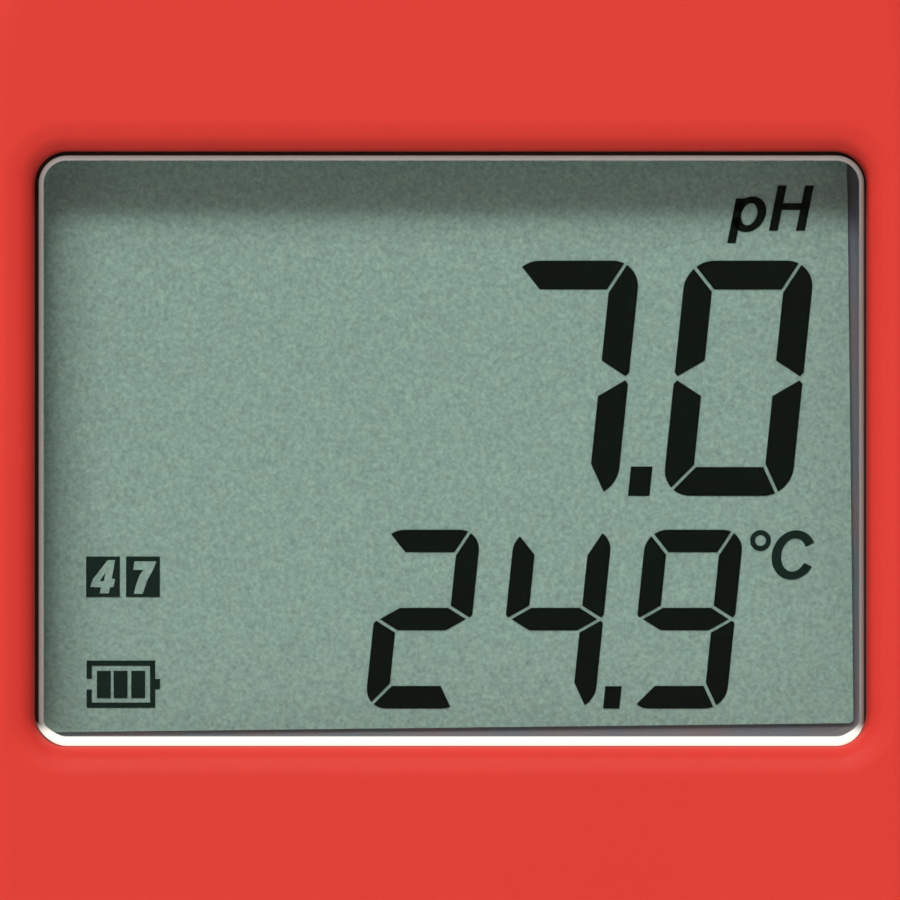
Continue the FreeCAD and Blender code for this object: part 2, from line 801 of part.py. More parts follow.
def make_front_shell():
    body = shell("front_shell", FRONT_Y, SPLIT_Y, FRONT_Y, d.front_edge_radius)
    # wall that holds the button's rubber boot
    boot_w, boot_h = boot_size()
    hole_w, hole_h = boot_w + d.boot_gap * 2, boot_h + d.boot_gap * 2
    corner = d.button_corner + d.boot_rim

    def boot_wall(s):
        rounded(s, hole_w + d.boot_wall * 2, hole_h + d.boot_wall * 2, corner + d.boot_wall, 0, BUTTON_Z)
        rounded(s, hole_w, hole_h, corner, 0, BUTTON_Z)

    root_y = INNER_FRONT_Y - BITE
    fill(body, "XZ_Plane", boot_wall, root_y, BOOT_BACK_Y)
    for x, z in board_screw_places():
        fill(body, "XZ_Plane", lambda s: circle(s, d.board_post_radius, x, z), root_y, BOARD_Y)
    for x, z in screw_places():
        fill(body, "XZ_Plane", lambda s: circle(s, d.post_radius, x, z), root_y, REAR_SPLIT_Y)
    for x, z in board_screw_places():
        radius = d.board_screw_radius + d.screw_hole_gap
        low = BOARD_Y - d.board_screw_length
        carve(body, "XZ_Plane", lambda s: circle(s, radius, x, z), low, BOARD_Y + PAST)
    for x, z in screw_places():
        radius = d.screw_radius + d.screw_hole_gap
        low = SCREW_SEAT_Y - d.screw_length - d.screw_hole_rest
        carve(body, "XZ_Plane", lambda s: circle(s, radius, x, z), low, REAR_SPLIT_Y + PAST)
    # window, with a soft rounding where it meets the face
    carve(
        body,
        "XZ_Plane",
        lambda s: rounded(s, d.window_width, d.window_height, d.window_corner, 0, WINDOW_Z),
        FRONT_Y - PAST,
        INNER_FRONT_Y + PAST,
    )
    span = (WINDOW_Z - d.window_height / 2, WINDOW_Z + d.window_height / 2)
    round_edges(body, d.window_edge_radius, at_level(1, FRONT_Y, d.window_width / 2, span))
    # button opening
    open_w, open_h = d.button_width + d.button_gap * 2, d.button_height + d.button_gap * 2
    carve(
        body,
        "XZ_Plane",
        lambda s: rounded(s, open_w, open_h, d.button_corner + d.button_gap, 0, BUTTON_Z),
        FRONT_Y - PAST,
        INNER_FRONT_Y + PAST,
    )
    span = (BUTTON_Z - open_h / 2, BUTTON_Z + open_h / 2)
    round_edges(body, d.button_edge_radius, at_level(1, FRONT_Y, open_w / 2, span))
    grip_grooves(body, BUTTON_Z - d.grooves_below_button, FRONT_Y)
    return part(body)


def make_rear_shell():
    body = shell("rear_shell", REAR_SPLIT_Y, REAR_Y, REAR_Y, d.rear_edge_radius)
    for x, z in screw_places():
        radius = d.screw_head_radius + d.screw_pass_gap + d.well_wall
        fill(body, "XZ_Plane", lambda s: circle(s, radius, x, z), REAR_SPLIT_Y, INNER_REAR_Y + BITE)
    for x, z in screw_places():
        hole, well = d.screw_radius + d.screw_pass_gap, d.screw_head_radius + d.screw_pass_gap
        carve(body, "XZ_Plane", lambda s: circle(s, hole, x, z), REAR_SPLIT_Y - PAST, SCREW_SEAT_Y)
        carve(body, "XZ_Plane", lambda s: circle(s, well, x, z), SCREW_SEAT_Y, REAR_Y + PAST)
    carve(
        body,
        "XZ_Plane",
        lambda s: rounded(s, d.label_width, d.label_height, d.label_corner, 0, LABEL_Z),
        REAR_Y - d.label_recess,
        REAR_Y + PAST,
    )
    add_cell_well(body)
    return part(body)


def ring_on_y(body, corners, cut=False, angle=None):
    """A ring about the battery cover's axis, from radius and depth pairs."""
    return turned(body, "XY_Plane", CELL_Z, corners, cut, angle)


def add_cell_well(body):
    """The round opening for the coin cell: a skirt, a recess for the lugs, a lip and a seat."""
    skirt_y = SPLIT_Y + d.skirt_gap
    skirt = RECESS_RADIUS + d.skirt_wall
    seat = d.cover_radius + d.cover_gap
    seat_wall = seat + d.skirt_wall
    recess_y = PLUG_FRONT_Y - d.lug_gap
    ring_on_y(
        body,
        [
            (BORE_RADIUS - BITE, skirt_y),
            (skirt, skirt_y),
            (skirt, LIP_Y),
            (seat_wall, LIP_Y),
            (seat_wall, INNER_REAR_Y + BITE),
            (BORE_RADIUS - BITE, INNER_REAR_Y + BITE),
        ],
    )
    ring_on_y(
        body,
        [
            (0, skirt_y - PAST),
            (BORE_RADIUS, skirt_y - PAST),
            (BORE_RADIUS, recess_y),
            (RECESS_RADIUS, recess_y),
            (RECESS_RADIUS, LIP_Y),
            (BORE_RADIUS, LIP_Y),
            (BORE_RADIUS, SEAT_Y),
            (seat, SEAT_Y),
            (seat, REAR_Y + PAST),
            (0, REAR_Y + PAST),
        ],
        cut=True,
    )
    # ways in for the three lugs
    way_in = ring_on_y(
        body,
        [
            (BORE_RADIUS - BITE, LIP_Y - BITE),
            (RECESS_RADIUS, LIP_Y - BITE),
            (RECESS_RADIUS, SEAT_Y + BITE),
            (BORE_RADIUS - BITE, SEAT_Y + BITE),
        ],
        cut=True,
        angle=d.slot_angle,
    )
    repeat_round(body, way_in, LUGS)


def make_housing_seal():
    """The soft cord between the two halves, set back a little from the outside."""
    body = new_body("housing_seal")
    inner = d.wall - d.seal_overhang
    fill(body, "XZ_Plane", lambda s: draw_outline(s, d.seal_inset, HOUSING_Z), SPLIT_Y, REAR_SPLIT_Y)
    low, high = SPLIT_Y - PAST, REAR_SPLIT_Y + PAST
    carve(body, "XZ_Plane", lambda s: draw_outline(s, inner, HOUSING_Z - PAST), low, high)
    return part(body)


def make_housing_screws():
    body = new_body("housing_screws")
    head_y = SCREW_SEAT_Y + d.screw_head_height
    for x, z in screw_places():
        fill(body, "XZ_Plane", lambda s: circle(s, d.screw_head_radius, x, z), SCREW_SEAT_Y, head_y)
    for x, z in screw_places():
        fill(
            body,
            "XZ_Plane",
            lambda s: circle(s, d.screw_radius, x, z),
            SCREW_SEAT_Y - d.screw_length,
            SCREW_SEAT_Y,
        )
    for x, z in screw_places():
        for width, height in ((d.recess_length, d.recess_width), (d.recess_width, d.recess_length)):
            floor = head_y - d.recess_depth
            carve(body, "XZ_Plane", lambda s: rectangle(s, width, height, x, z), floor, head_y + PAST)
    return part(body)


def make_rear_label():
    front = REAR_Y - d.label_recess
    width, height = d.label_width - d.label_gap * 2, d.label_height - d.label_gap * 2
    corner = d.label_corner - d.label_gap
    return part(plate("rear_label", width, height, corner, front, front + d.label_thickness, LABEL_Z))


# ---------------------------------------------------------------- display


def make_display_lens():
    """A clear top-hat: a raised plate, low and a little right in the window, on a flange behind the wall."""
    body = new_body("display_lens")
    x, z = d.lens_shift, WINDOW_Z - d.lens_drop
    top_w, top_h = d.window_width - d.lens_gap * 2, d.window_height - d.lens_gap_height * 2
    lens_front = FRONT_Y + d.lens_sink
    fill(
        body,
        "XZ_Plane",
        lambda s: rounded(s, top_w, top_h, d.window_corner - d.lens_gap, x, z),
        lens_front,
        LENS_FLANGE_Y + BITE,
    )
    flange_w, flange_h = d.window_width + d.lens_lip * 2, d.window_height + d.lens_lip * 2
    fill(
        body,
        "XZ_Plane",
        lambda s: rounded(s, flange_w, flange_h, d.window_corner + d.lens_lip, x, z),
        LENS_FLANGE_Y,
        LENS_BACK_Y,
    )
    round_edges(body, d.lens_edge_radius, at_level(1, lens_front))
    return part(body)


def make_lens_tape():
    """The black double-sided frame that holds the lens to the wall."""
    body = new_body("lens_tape")
    out_w = d.window_width + (d.lens_lip - d.tape_inset) * 2
    out_h = d.window_height + (d.lens_lip - d.tape_inset) * 2

    def frame(s):
        rounded(s, out_w, out_h, d.window_corner + d.lens_lip - d.tape_inset, 0, WINDOW_Z)
        rounded(s, d.window_width, d.window_height, d.window_corner, 0, WINDOW_Z)

    fill(body, "XZ_Plane", frame, INNER_FRONT_Y, LENS_FLANGE_Y)
    return part(body)


def make_display_cell():
    """Two glasses with a film in front and a reflector behind; the front glass has a ledge at its foot."""
    tall = d.glass_height + d.glass_ledge
    low_z = WINDOW_Z - d.glass_ledge / 2
    corner = d.glass_corner
    part(plate("lcd_front_glass", d.glass_width, tall, corner, FRONT_GLASS_Y, REAR_GLASS_Y, low_z))
    part(plate("lcd_rear_glass", d.glass_width, d.glass_height, corner, REAR_GLASS_Y, REFLECTOR_Y, WINDOW_Z))
    width, height = d.glass_width - d.reflector_inset * 2, d.glass_height - d.reflector_inset * 2
    part(plate("lcd_reflector", width, height, corner, REFLECTOR_Y, REFLECTOR_BACK_Y, WINDOW_Z))
    # the film was laid on a little askew, so it turns about its own middle
    film = new_body("lcd_polarizer", -d.film_left, 0, WINDOW_Z + d.film_rise)
    sheet = (d.film_width, d.film_height, d.film_corner)
    fill(film, "XZ_Plane", lambda s: rounded(s, *sheet), FILM_Y, FRONT_GLASS_Y)
    film.Placement.Rotation = FreeCAD.Rotation(Vector(0, 1, 0), -d.film_turn.number)
    film.setExpression("Placement.Rotation.Axis.x", "0")
    film.setExpression("Placement.Rotation.Axis.y", "-1")
    film.setExpression("Placement.Rotation.Axis.z", "0")
    film.setExpression("Placement.Rotation.Angle", "sizes.film_turn")
    doc.recompute()
    part(film)


def make_lcd_holder():
    body = new_body("lcd_holder")
    tall = d.glass_height + d.glass_ledge
    low_z = WINDOW_Z - d.glass_ledge / 2
    play, wall = d.holder_play * 2, d.holder_wall * 2
    out_w, out_h = d.glass_width + play + wall, tall + play + wall
    fill(body, "XZ_Plane", lambda s: rounded(s, out_w, out_h, d.holder_corner, 0, low_z), FILM_Y, BOARD_Y)
    carve(
        body,
        "XZ_Plane",
        lambda s: rectangle(s, d.glass_width + play, tall + play, 0, low_z),
        FILM_Y - PAST,
        REAR_GLASS_Y,
    )
    carve(
        body,
        "XZ_Plane",
        lambda s: rectangle(s, d.glass_width + play, d.glass_height + play, 0, WINDOW_Z),
        REAR_GLASS_Y - BITE,
        REFLECTOR_BACK_Y,
    )
    slot_w, slot_h = d.zebra_length + play, d.zebra_thickness + play
    carve(
        body,
        "XZ_Plane",
        lambda s: rectangle(s, slot_w, slot_h, 0, zebra_z()),
        REAR_GLASS_Y - BITE,
        BOARD_Y + PAST,
    )
    return part(body)


def zebra_z():
    """Level of the contact strip: the middle of the front glass's ledge."""
    return WINDOW_Z - d.glass_height / 2 - d.glass_ledge / 2


def make_zebra_strip():
    body = new_body("zebra_strip")
    fill(
        body,
        "XZ_Plane",
        lambda s: rectangle(s, d.zebra_length, d.zebra_thickness, 0, zebra_z()),
        REAR_GLASS_Y,
        BOARD_Y,
    )
    return part(body)


# ---------------------------------------------------------------- circuit board


def make_main_board():
    """The board follows the housing down to a narrow tail between the lower screw posts."""
    body = new_body("main_board")
    waist_z = HOUSING_Z + d.neck_screw_height + d.post_radius + 1
    right = [
        (d.board_tail_width / 2, HOUSING_Z + d.board_tail_height),
        (d.board_tail_width / 2, waist_z),
        (d.board_waist_width / 2, waist_z),
        (d.board_width / 2, SHOULDER_Z + d.board_taper_rise),
        (d.board_width / 2, TOP_Z - d.board_below_top),
    ]
    corners = right + [(-x, z) for x, z in reversed(right)]
    fill(body, "XZ_Plane", lambda s: polygon(s, corners), BOARD_Y, BOARD_BACK_Y)
    for x, z in board_screw_places():
        radius = d.board_screw_radius + d.screw_pass_gap
        carve(body, "XZ_Plane", lambda s: circle(s, radius, x, z), BOARD_Y - PAST, BOARD_BACK_Y + PAST)
    return part(body)


def make_board_screws():
    body = new_body("board_screws")
    head, top = d.board_screw_head_radius, BOARD_BACK_Y + d.board_screw_head_height
    for x, z in board_screw_places():
        fill(body, "XZ_Plane", lambda s: circle(s, head, x, z), BOARD_BACK_Y, top)
    for x, z in board_screw_places():
        tip = BOARD_BACK_Y - d.board_screw_length
        fill(body, "XZ_Plane", lambda s: circle(s, d.board_screw_radius, x, z), tip, BOARD_BACK_Y)
    for x, z in board_screw_places():
        floor = top - d.board_screw_slot_depth
        slot = (head * SLOT_REACH, d.board_screw_slot_width)
        carve(body, "XZ_Plane", lambda s: rectangle(s, *slot, x, z), floor, top + PAST)
    return part(body)


def chip(label, width, height, corner, x, z, thickness):
    """A package with round corners, lying on the back of the board."""
    body = new_body(label, x, 0, z)
    back = BOARD_BACK_Y + thickness
    fill(body, "XZ_Plane", lambda s: rounded(s, width, height, corner), BOARD_BACK_Y, back)
    return body


def make_chips():
    size, thickness = d.controller_size, d.chip_thickness
    place = (-d.controller_left, LABEL_Z + d.controller_rise)
    controller = chip("controller_chip", size, size, d.chip_corner, *place, thickness)
    width, height = d.amplifier_width, d.amplifier_height
    place = (d.amplifier_right, LABEL_Z - d.amplifier_drop)
    amplifier = chip("amplifier_chip", width, height, d.chip_corner, *place, thickness)
    for body in (controller, amplifier):
        bevel_edges(body, d.chip_bevel, at_level(1, BOARD_BACK_Y + thickness))
        part(body)


def make_crystal():
    width, place = d.crystal_width, (d.crystal_right, LABEL_Z + d.crystal_rise)
    body = chip("crystal", width, d.crystal_length, width * NEARLY_HALF, *place, d.crystal_depth)
    round_edges(body, d.crystal_edge_radius, at_level(1, BOARD_BACK_Y + d.crystal_depth))
    return part(body)


def make_small_parts():
    """A row of resistors and a shorter row of capacitors, across the middle of the board."""
    rows = (
        ("resistor", RESISTORS, LABEL_Z - d.resistor_drop, d.resistor_thickness),
        ("capacitor", CAPACITORS, LABEL_Z - d.capacitor_drop, d.capacitor_thickness),
    )
    small = (d.small_part_width, d.small_part_length, d.small_part_corner)
    for name, count, z, thickness in rows:
        for i in range(count):
            x = d.small_part_pitch * (i - (count - 1) / 2)
            part(chip(f"{name}_{i + 1}", *small, x, z, thickness))


# ---------------------------------------------------------------- button and switch


def make_button_key():
    body = new_body("button_key")
    fill(
        body,
        "XZ_Plane",
        lambda s: rounded(s, d.button_width, d.button_height, d.button_corner, 0, BUTTON_Z),
        FRONT_Y + d.button_sink,
        KEY_FLANGE_Y + BITE,
    )
    lip_w, lip_h = d.button_width + d.key_lip * 2, d.button_height + d.key_lip * 2
    fill(
        body,
        "XZ_Plane",
        lambda s: rounded(s, lip_w, lip_h, d.button_corner + d.key_lip, 0, BUTTON_Z),
        KEY_FLANGE_Y,
        KEY_BACK_Y,
    )
    round_edges(body, d.key_edge_radius, at_level(1, FRONT_Y + d.button_sink))
    dish_w, dish_h = d.button_width - d.dish_margin * 2, d.button_height - d.dish_margin * 2
    floor = FRONT_Y + d.button_sink + d.dish_depth
    carve(
        body,
        "XZ_Plane",
        lambda s: rounded(s, dish_w, dish_h, d.button_corner - d.dish_margin, 0, BUTTON_Z),
        FRONT_Y - PAST,
        floor,
    )
    round_edges(body, d.dish_depth * MOSTLY, at_level(1, floor))
    return part(body)


def make_button_boot():
    """The silicone boot: a rim in the shell's wall, a thin web and a boss over the switch."""
    body = new_body("button_boot")
    boot_w, boot_h = boot_size()
    outer = d.button_corner + d.boot_rim
    front, back = INNER_FRONT_Y, BOOT_BACK_Y
    fill(body, "XZ_Plane", lambda s: rounded(s, boot_w, boot_h, outer, 0, BUTTON_Z), front, back)
    hollow_w = d.button_width + (d.key_lip + d.boot_play) * 2
    hollow_h = d.button_height + (d.key_lip + d.boot_play) * 2
    inner = d.button_corner + d.key_lip / 2
    carve(
        body,
        "XZ_Plane",
        lambda s: rounded(s, hollow_w, hollow_h, inner, 0, BUTTON_Z),
        INNER_FRONT_Y - PAST,
        BOOT_WEB_Y,
    )
    boss_back = PLUNGER_Y - (d.button_travel - d.switch_travel)
    boss = d.plunger_radius + d.boss_margin
    fill(body, "XZ_Plane", lambda s: circle(s, boss, 0, BUTTON_Z), BOOT_BACK_Y - BITE, boss_back)
    return part(body)


def make_switch():
    body = new_body("switch_body")
    size = d.switch_size
    fill(body, "XZ_Plane", lambda s: rounded(s, size, size, d.switch_corner, 0, BUTTON_Z), SWITCH_Y, BOARD_Y)
    bevel_edges(body, d.switch_bevel, at_level(1, SWITCH_Y))
    well = d.plunger_radius + d.plunger_gap
    floor = SWITCH_Y + d.plunger_depth
    carve(body, "XZ_Plane", lambda s: circle(s, well, 0, BUTTON_Z), SWITCH_Y - PAST, floor)
    part(body)
    plunger = new_body("switch_plunger")
    back = floor - d.switch_travel - d.plunger_gap
    fill(plunger, "XZ_Plane", lambda s: circle(s, d.plunger_radius, 0, BUTTON_Z), PLUNGER_Y, back)
    bevel_edges(plunger, d.plunger_bevel, at_level(1, PLUNGER_Y))
    part(plunger)


# ---------------------------------------------------------------- coin cell and cover


def make_coin_cell():
    body = new_body("battery_cell")
    radius = d.cell_diameter / 2
    step = CELL_FRONT_Y + d.cell_step
    narrow = radius - d.cell_step_inset
    ring_on_y(
        body,
        [
            (0, CELL_FRONT_Y),
            (narrow, CELL_FRONT_Y),
            (narrow, step),
            (radius, step),
            (radius, CELL_BACK_Y),
            (0, CELL_BACK_Y),
        ],
    )
    round_edges(body, d.cell_edge_radius, at_level(1, CELL_BACK_Y))
    return part(body)


def make_battery_contacts():
    """A sprung strip under the cell and an upright one at its side."""
    thin = d.contact_thickness
    level = CELL_Z - d.contact_width / 2
    minus = new_body("battery_contact_negative")
    foot, rise = -d.contact_foot_left, d.contact_foot_length - d.contact_foot_left
    bend, tip = d.contact_bend_right, d.contact_tip_right
    low = [
        (foot, BOARD_BACK_Y),
        (rise, BOARD_BACK_Y),
        (bend, CELL_FRONT_Y - thin),
        (tip, CELL_FRONT_Y - thin),
        (tip, CELL_FRONT_Y),
        (bend - thin / 2, CELL_FRONT_Y),
        (rise - thin / 2, BOARD_BACK_Y + thin),
        (foot, BOARD_BACK_Y + thin),
    ]
    fill(minus, "XY_Plane", lambda s: polygon(s, low), level, level + d.contact_width)
    part(minus)
    plus = new_body("battery_contact_positive")
    side = d.cell_diameter / 2 + d.side_contact_gap
    foot = side + d.side_contact_foot
    high = [
        (side, BOARD_BACK_Y),
        (foot, BOARD_BACK_Y),
        (foot, BOARD_BACK_Y + thin),
        (side + thin, BOARD_BACK_Y + thin),
        (side + thin, SPLIT_Y),
        (side, SPLIT_Y),
    ]
    fill(plus, "XY_Plane", lambda s: polygon(s, high), level, level + d.contact_width)
    part(plus)


def make_battery_cover():
    """A round cover that a coin turns: a plate, a plug and three lugs that go under the lip."""
    body = new_body("battery_cover")
    plate_y = SEAT_Y + d.cover_plate_gap
    back = REAR_Y - d.cover_sink
    cup = PLUG_RADIUS - d.cover_plug_wall
    cup_floor = SEAT_Y - d.cover_floor
    inner = d.cover_seal_radius - d.cover_seal_gap
    outer = d.cover_seal_radius + d.cover_seal_width + d.cover_seal_gap
    groove = SEAT_Y + d.cover_seal_height + d.cover_seal_gap * 2
    ring_on_y(
        body,
        [
            (0, cup_floor),
            (cup, cup_floor),
            (cup, PLUG_FRONT_Y),
            (PLUG_RADIUS, PLUG_FRONT_Y),
            (PLUG_RADIUS, plate_y),
            (inner, plate_y),
            (inner, groove),
            (outer, groove),
            (outer, plate_y),
            (d.cover_radius, plate_y),
            (d.cover_radius, back),
            (0, back),
        ],
    )
    lug = ring_on_y(
        body,
        [
            (PLUG_RADIUS - BITE, PLUG_FRONT_Y),
            (BORE_RADIUS + d.lug_reach, PLUG_FRONT_Y),
            (BORE_RADIUS + d.lug_reach, LIP_Y - d.lug_gap),
            (PLUG_RADIUS - BITE, LIP_Y - d.lug_gap),
        ],
        angle=d.lug_angle,
    )
    repeat_round(body, lug, LUGS)
    slot, width = d.coin_slot_length, d.coin_slot_width
    carve(
        body,
        "XZ_Plane",
        lambda s: rounded(s, slot, width, width * NEARLY_HALF, 0, CELL_Z),
        back - d.coin_slot_depth,
        back + PAST,
    )
    round_edges(body, d.cover_edge_radius, at_level(1, back, reach_x=d.cover_radius))
    return part(body)


def make_cover_seal():
    body = new_body("battery_cover_seal")
    inner, outer = d.cover_seal_radius, d.cover_seal_radius + d.cover_seal_width
    front, back = SEAT_Y + d.cover_seal_seat_gap, SEAT_Y + d.cover_seal_height
    ring_on_y(body, [(inner, front), (outer, front), (outer, back), (inner, back)])
    round_edges(body, d.cover_seal_edge_radius, lambda edge: near(edge.BoundBox.YMin, edge.BoundBox.YMax))
    return part(body)


# ---------------------------------------------------------------- probe


def neck_block(body, low, high, inset=0):
    """A block with the neck's plan, pulled in by inset: its back corners are rounder than its front ones."""
    width, depth = d.neck_width - as_size(inset) * 2, d.housing_depth - as_size(inset) * 2
    fill(body, "XY_Plane", lambda s: rectangle(s, width, depth), low, high)
    for radius, y in ((d.front_edge_radius, FRONT_Y + inset), (d.rear_edge_radius, REAR_Y - inset)):

        def is_corner(edge, y=y):
            return along(edge, 2) and near(edge.CenterOfMass.y, y)

        round_edges(body, radius - inset, is_corner)


def make_probe_sleeve():
    body = new_body("probe_sleeve")
    neck_block(body, FLANGE_Z, GASKET_Z)
    spigot = (d.spigot_width, d.spigot_depth, d.spigot_corner)
    fill(body, "XY_Plane", lambda s: rounded(s, *spigot), FLANGE_Z - d.spigot_length, FLANGE_Z + BITE)
    plug = (d.plug_width, d.plug_depth, d.plug_corner)
    fill(body, "XY_Plane", lambda s: rounded(s, *plug), GASKET_Z - BITE, PLUG_TOP_Z)
    # groove for the seal that the cap slides over
    low = FLANGE_Z - d.cap_seal_drop - d.cap_seal_height / 2 - d.cap_seal_gap
    inner = [size - d.cap_seal_bite * 2 for size in spigot[:2]]

    def groove(s):
        rounded(s, d.spigot_width + PAST * 2, d.spigot_depth + PAST * 2, d.spigot_corner + PAST)
        rounded(s, inner[0], inner[1], d.spigot_corner - d.cap_seal_bite)

    carve(body, "XY_Plane", groove, low, low + d.cap_seal_height + d.cap_seal_gap * 2)
    bottom = FLANGE_Z - d.spigot_length
    for radius, x in ((d.electrode_radius, PROBE_X), (d.sheath_radius, -PROBE_X)):
        bore = radius + d.pot_gap
        carve(body, "XY_Plane", lambda s: circle(s, bore, x, 0), bottom - PAST, ELECTRODE_TOP_Z)
    top = PLUG_TOP_Z + PAST
    start = ELECTRODE_TOP_Z - PAST
    carve(body, "XY_Plane", lambda s: circle(s, d.silver_radius, PROBE_X, 0), start, top)
    carve(body, "XY_Plane", lambda s: circle(s, d.reference_radius, PROBE_X - d.pin_pitch, 0), start, top)
    for side in (1, -1):
        x = -PROBE_X + d.lead_spread * side
        carve(body, "XY_Plane", lambda s: circle(s, d.lead_radius, x, 0), start, top)
    bevel_edges(body, d.rim_bevel, spigot_rim(bottom))
    return part(body)


def spigot_rim(bottom):
    """A test for the outer edges at the spigot's foot, leaving out the two bores."""
    at_bottom = at_level(2, bottom)

    def test(edge):
        box = edge.BoundBox
        in_middle = max(abs(box.YMin), abs(box.YMax)) < d.electrode_radius.number + OUTSIDE
        return at_bottom(edge) and not (in_middle and isinstance(edge.Curve, Part.Circle))

    return test


def make_probe_gasket():
    """The thin gasket between the sleeve's flange and the housing."""
    body = new_body("probe_gasket")
    neck_block(body, GASKET_Z, HOUSING_Z, d.gasket_inset)
    plug = (d.plug_width, d.plug_depth, d.plug_corner)
    carve(body, "XY_Plane", lambda s: rounded(s, *plug), GASKET_Z - PAST, HOUSING_Z + PAST)
    return part(body)


def make_cap_seal():
    """The seal round the spigot that the cap slides over."""
    body = new_body("cap_seal")
    low = FLANGE_Z - d.cap_seal_drop - d.cap_seal_height / 2
    play = d.cap_seal_play * 2
    width, depth = d.neck_width - d.cap_wall * 2 - play, d.housing_depth - d.cap_wall * 2 - play
    inner_w, inner_d = d.spigot_width - d.cap_seal_bite * 2, d.spigot_depth - d.cap_seal_bite * 2

    def ring(s):
        rounded(s, width, depth, d.cap_corner - d.cap_seal_play)
        rounded(s, inner_w, inner_d, d.spigot_corner - d.cap_seal_bite)

    fill(body, "XY_Plane", ring, low, low + d.cap_seal_height)
    inner = (inner_w, inner_d, d.spigot_corner - d.cap_seal_bite)
    round_edges(body, d.cap_seal_edge_radius, lambda edge: not along(edge, 2) and edge_outside(edge, *inner))
    return part(body)


def edge_outside(edge, width, depth, corner):
    """True where the middle of a level edge lies outside a rectangle with round corners."""
    spot = edge.valueAt((edge.FirstParameter + edge.LastParameter) / 2)
    dx = abs(spot.x) - (width.number / 2 - corner.number)
    dy = abs(spot.y) - (depth.number / 2 - corner.number)
    beyond = math.hypot(max(dx, 0), max(dy, 0))
    return near(edge.BoundBox.ZMin, edge.BoundBox.ZMax) and beyond > corner.number + OUTSIDE


def tube(label, x, outer, inner, low, high):
    """A straight upright tube."""
    body = new_body(label, x)
    turned(body, "XZ_Plane", 0, [(inner, low), (outer, low), (outer, high), (inner, high)])
    return body


def rod(label, x, radius, low, high):
    body = new_body(label, x)
    fill(body, "XY_Plane", lambda s: circle(s, radius), low, high)
    return body


def make_electrode():
    """A glass tube round a stem with the sensing bulb, a reference wire and a porous junction."""
    bore = d.electrode_radius - d.electrode_wall
    outer = tube("electrode_tube", PROBE_X, d.electrode_radius, bore, ELECTRODE_Z, ELECTRODE_TOP_Z)
    round_edges(outer, d.tube_edge_radius, at_level(2, ELECTRODE_Z))
    junction_z = ELECTRODE_Z + d.junction_height
    front = -d.electrode_radius
    carve(
        outer,
        "XZ_Plane",
        lambda s: circle(s, d.junction_radius, 0, junction_z),
        front - PAST,
        front + d.electrode_wall + PAST,
    )
    part(outer)
    junction = new_body("reference_junction", PROBE_X)
    fill(
        junction,
        "XZ_Plane",
        lambda s: circle(s, d.junction_radius, 0, junction_z),
        front + d.junction_sink,
        front + d.junction_sink + d.junction_length,
    )
    part(junction)

    bulb = new_body("sensing_bulb", PROBE_X)
    hollow = d.bulb_radius - d.bulb_wall
    for kind, radius in (("AdditiveSphere", d.bulb_radius), ("SubtractiveSphere", hollow)):
        ball = bulb.newObject(f"PartDesign::{kind}", "ball")
        attach(bulb, ball, "XY_Plane", BULB_Z)
        bind(ball, "Radius", radius)
        settle(ball, bulb)
    carve(bulb, "XY_Plane", lambda s: circle(s, d.stem_radius), BULB_Z, BULB_Z + d.bulb_radius + PAST)
    part(bulb)

    stem_low = BULB_Z + d.bulb_radius - d.bulb_wall - d.stem_bite
    stem_top = ELECTRODE_TOP_Z - d.stem_drop
    part(tube("electrode_stem", PROBE_X, d.stem_radius, d.stem_radius - d.stem_wall, stem_low, stem_top))
    seal_low = ELECTRODE_Z + d.stem_seal_rise
    part(tube("stem_seal", PROBE_X, bore, d.stem_radius, seal_low, seal_low + d.stem_seal_height))
    part(rod("silver_electrode", PROBE_X, d.silver_radius, BULB_Z - d.silver_reach, PLUG_TOP_Z))
    low = seal_low + d.stem_seal_height
    part(rod("reference_wire", PROBE_X - d.pin_pitch, d.reference_radius, low, PLUG_TOP_Z))


def make_temperature_probe():
    """A closed steel sheath with a thermistor bead at its tip and two leads moulded into it."""
    body = new_body("temperature_sheath", -PROBE_X)
    bore = d.sheath_radius - d.sheath_wall
    fill(body, "XY_Plane", lambda s: circle(s, d.sheath_radius), SHEATH_Z, ELECTRODE_TOP_Z)
    round_edges(body, d.sheath_radius - d.sheath_tip_flat, at_level(2, SHEATH_Z))
    floor = SHEATH_Z + d.sheath_radius
    carve(body, "XY_Plane", lambda s: circle(s, bore), floor, ELECTRODE_TOP_Z + PAST)
    part(body)

    bead = new_body("thermistor_bead", -PROBE_X)
    high = floor + d.bead_length
    fill(bead, "XY_Plane", lambda s: circle(s, d.bead_radius), floor, high)
    round_edges(bead, d.bead_radius * MOSTLY, lambda edge: not along(edge, 2))
    for side in (1, -1):
        hole = (d.lead_radius + d.pot_gap, d.lead_spread * side, 0)
        carve(bead, "XY_Plane", lambda s: circle(s, *hole), high - d.lead_depth, high + PAST)
    part(bead)
    for i, side in enumerate((1, -1), start=1):
        x = -PROBE_X + d.lead_spread * side
        part(rod(f"thermistor_lead_{i}", x, d.lead_radius, high - d.lead_depth, PLUG_TOP_Z))


def make_probe_board():
    """A small board on the plug, and the pins that join it to the main board."""
    board = new_body("probe_board")
    width, depth = d.probe_board_width, d.probe_board_depth
    fill(board, "XY_Plane", lambda s: rounded(s, width, depth, 1), PLUG_TOP_Z, PROBE_BOARD_Z)
    part(board)
    top = PROBE_BOARD_Z + d.pin_length
    for i in range(PINS):
        x = d.pin_pitch * (i - (PINS - 1) / 2)
        pin = new_body(f"header_pin_{i + 1}", x, BOARD_BACK_Y + d.pin_size / 2)
        fill(pin, "XY_Plane", lambda s: rectangle(s, d.pin_size, d.pin_size), PROBE_BOARD_Z, top)
        bevel_edges(pin, d.pin_bevel, at_level(2, top))
        part(pin)


# ---------------------------------------------------------------- protective cap


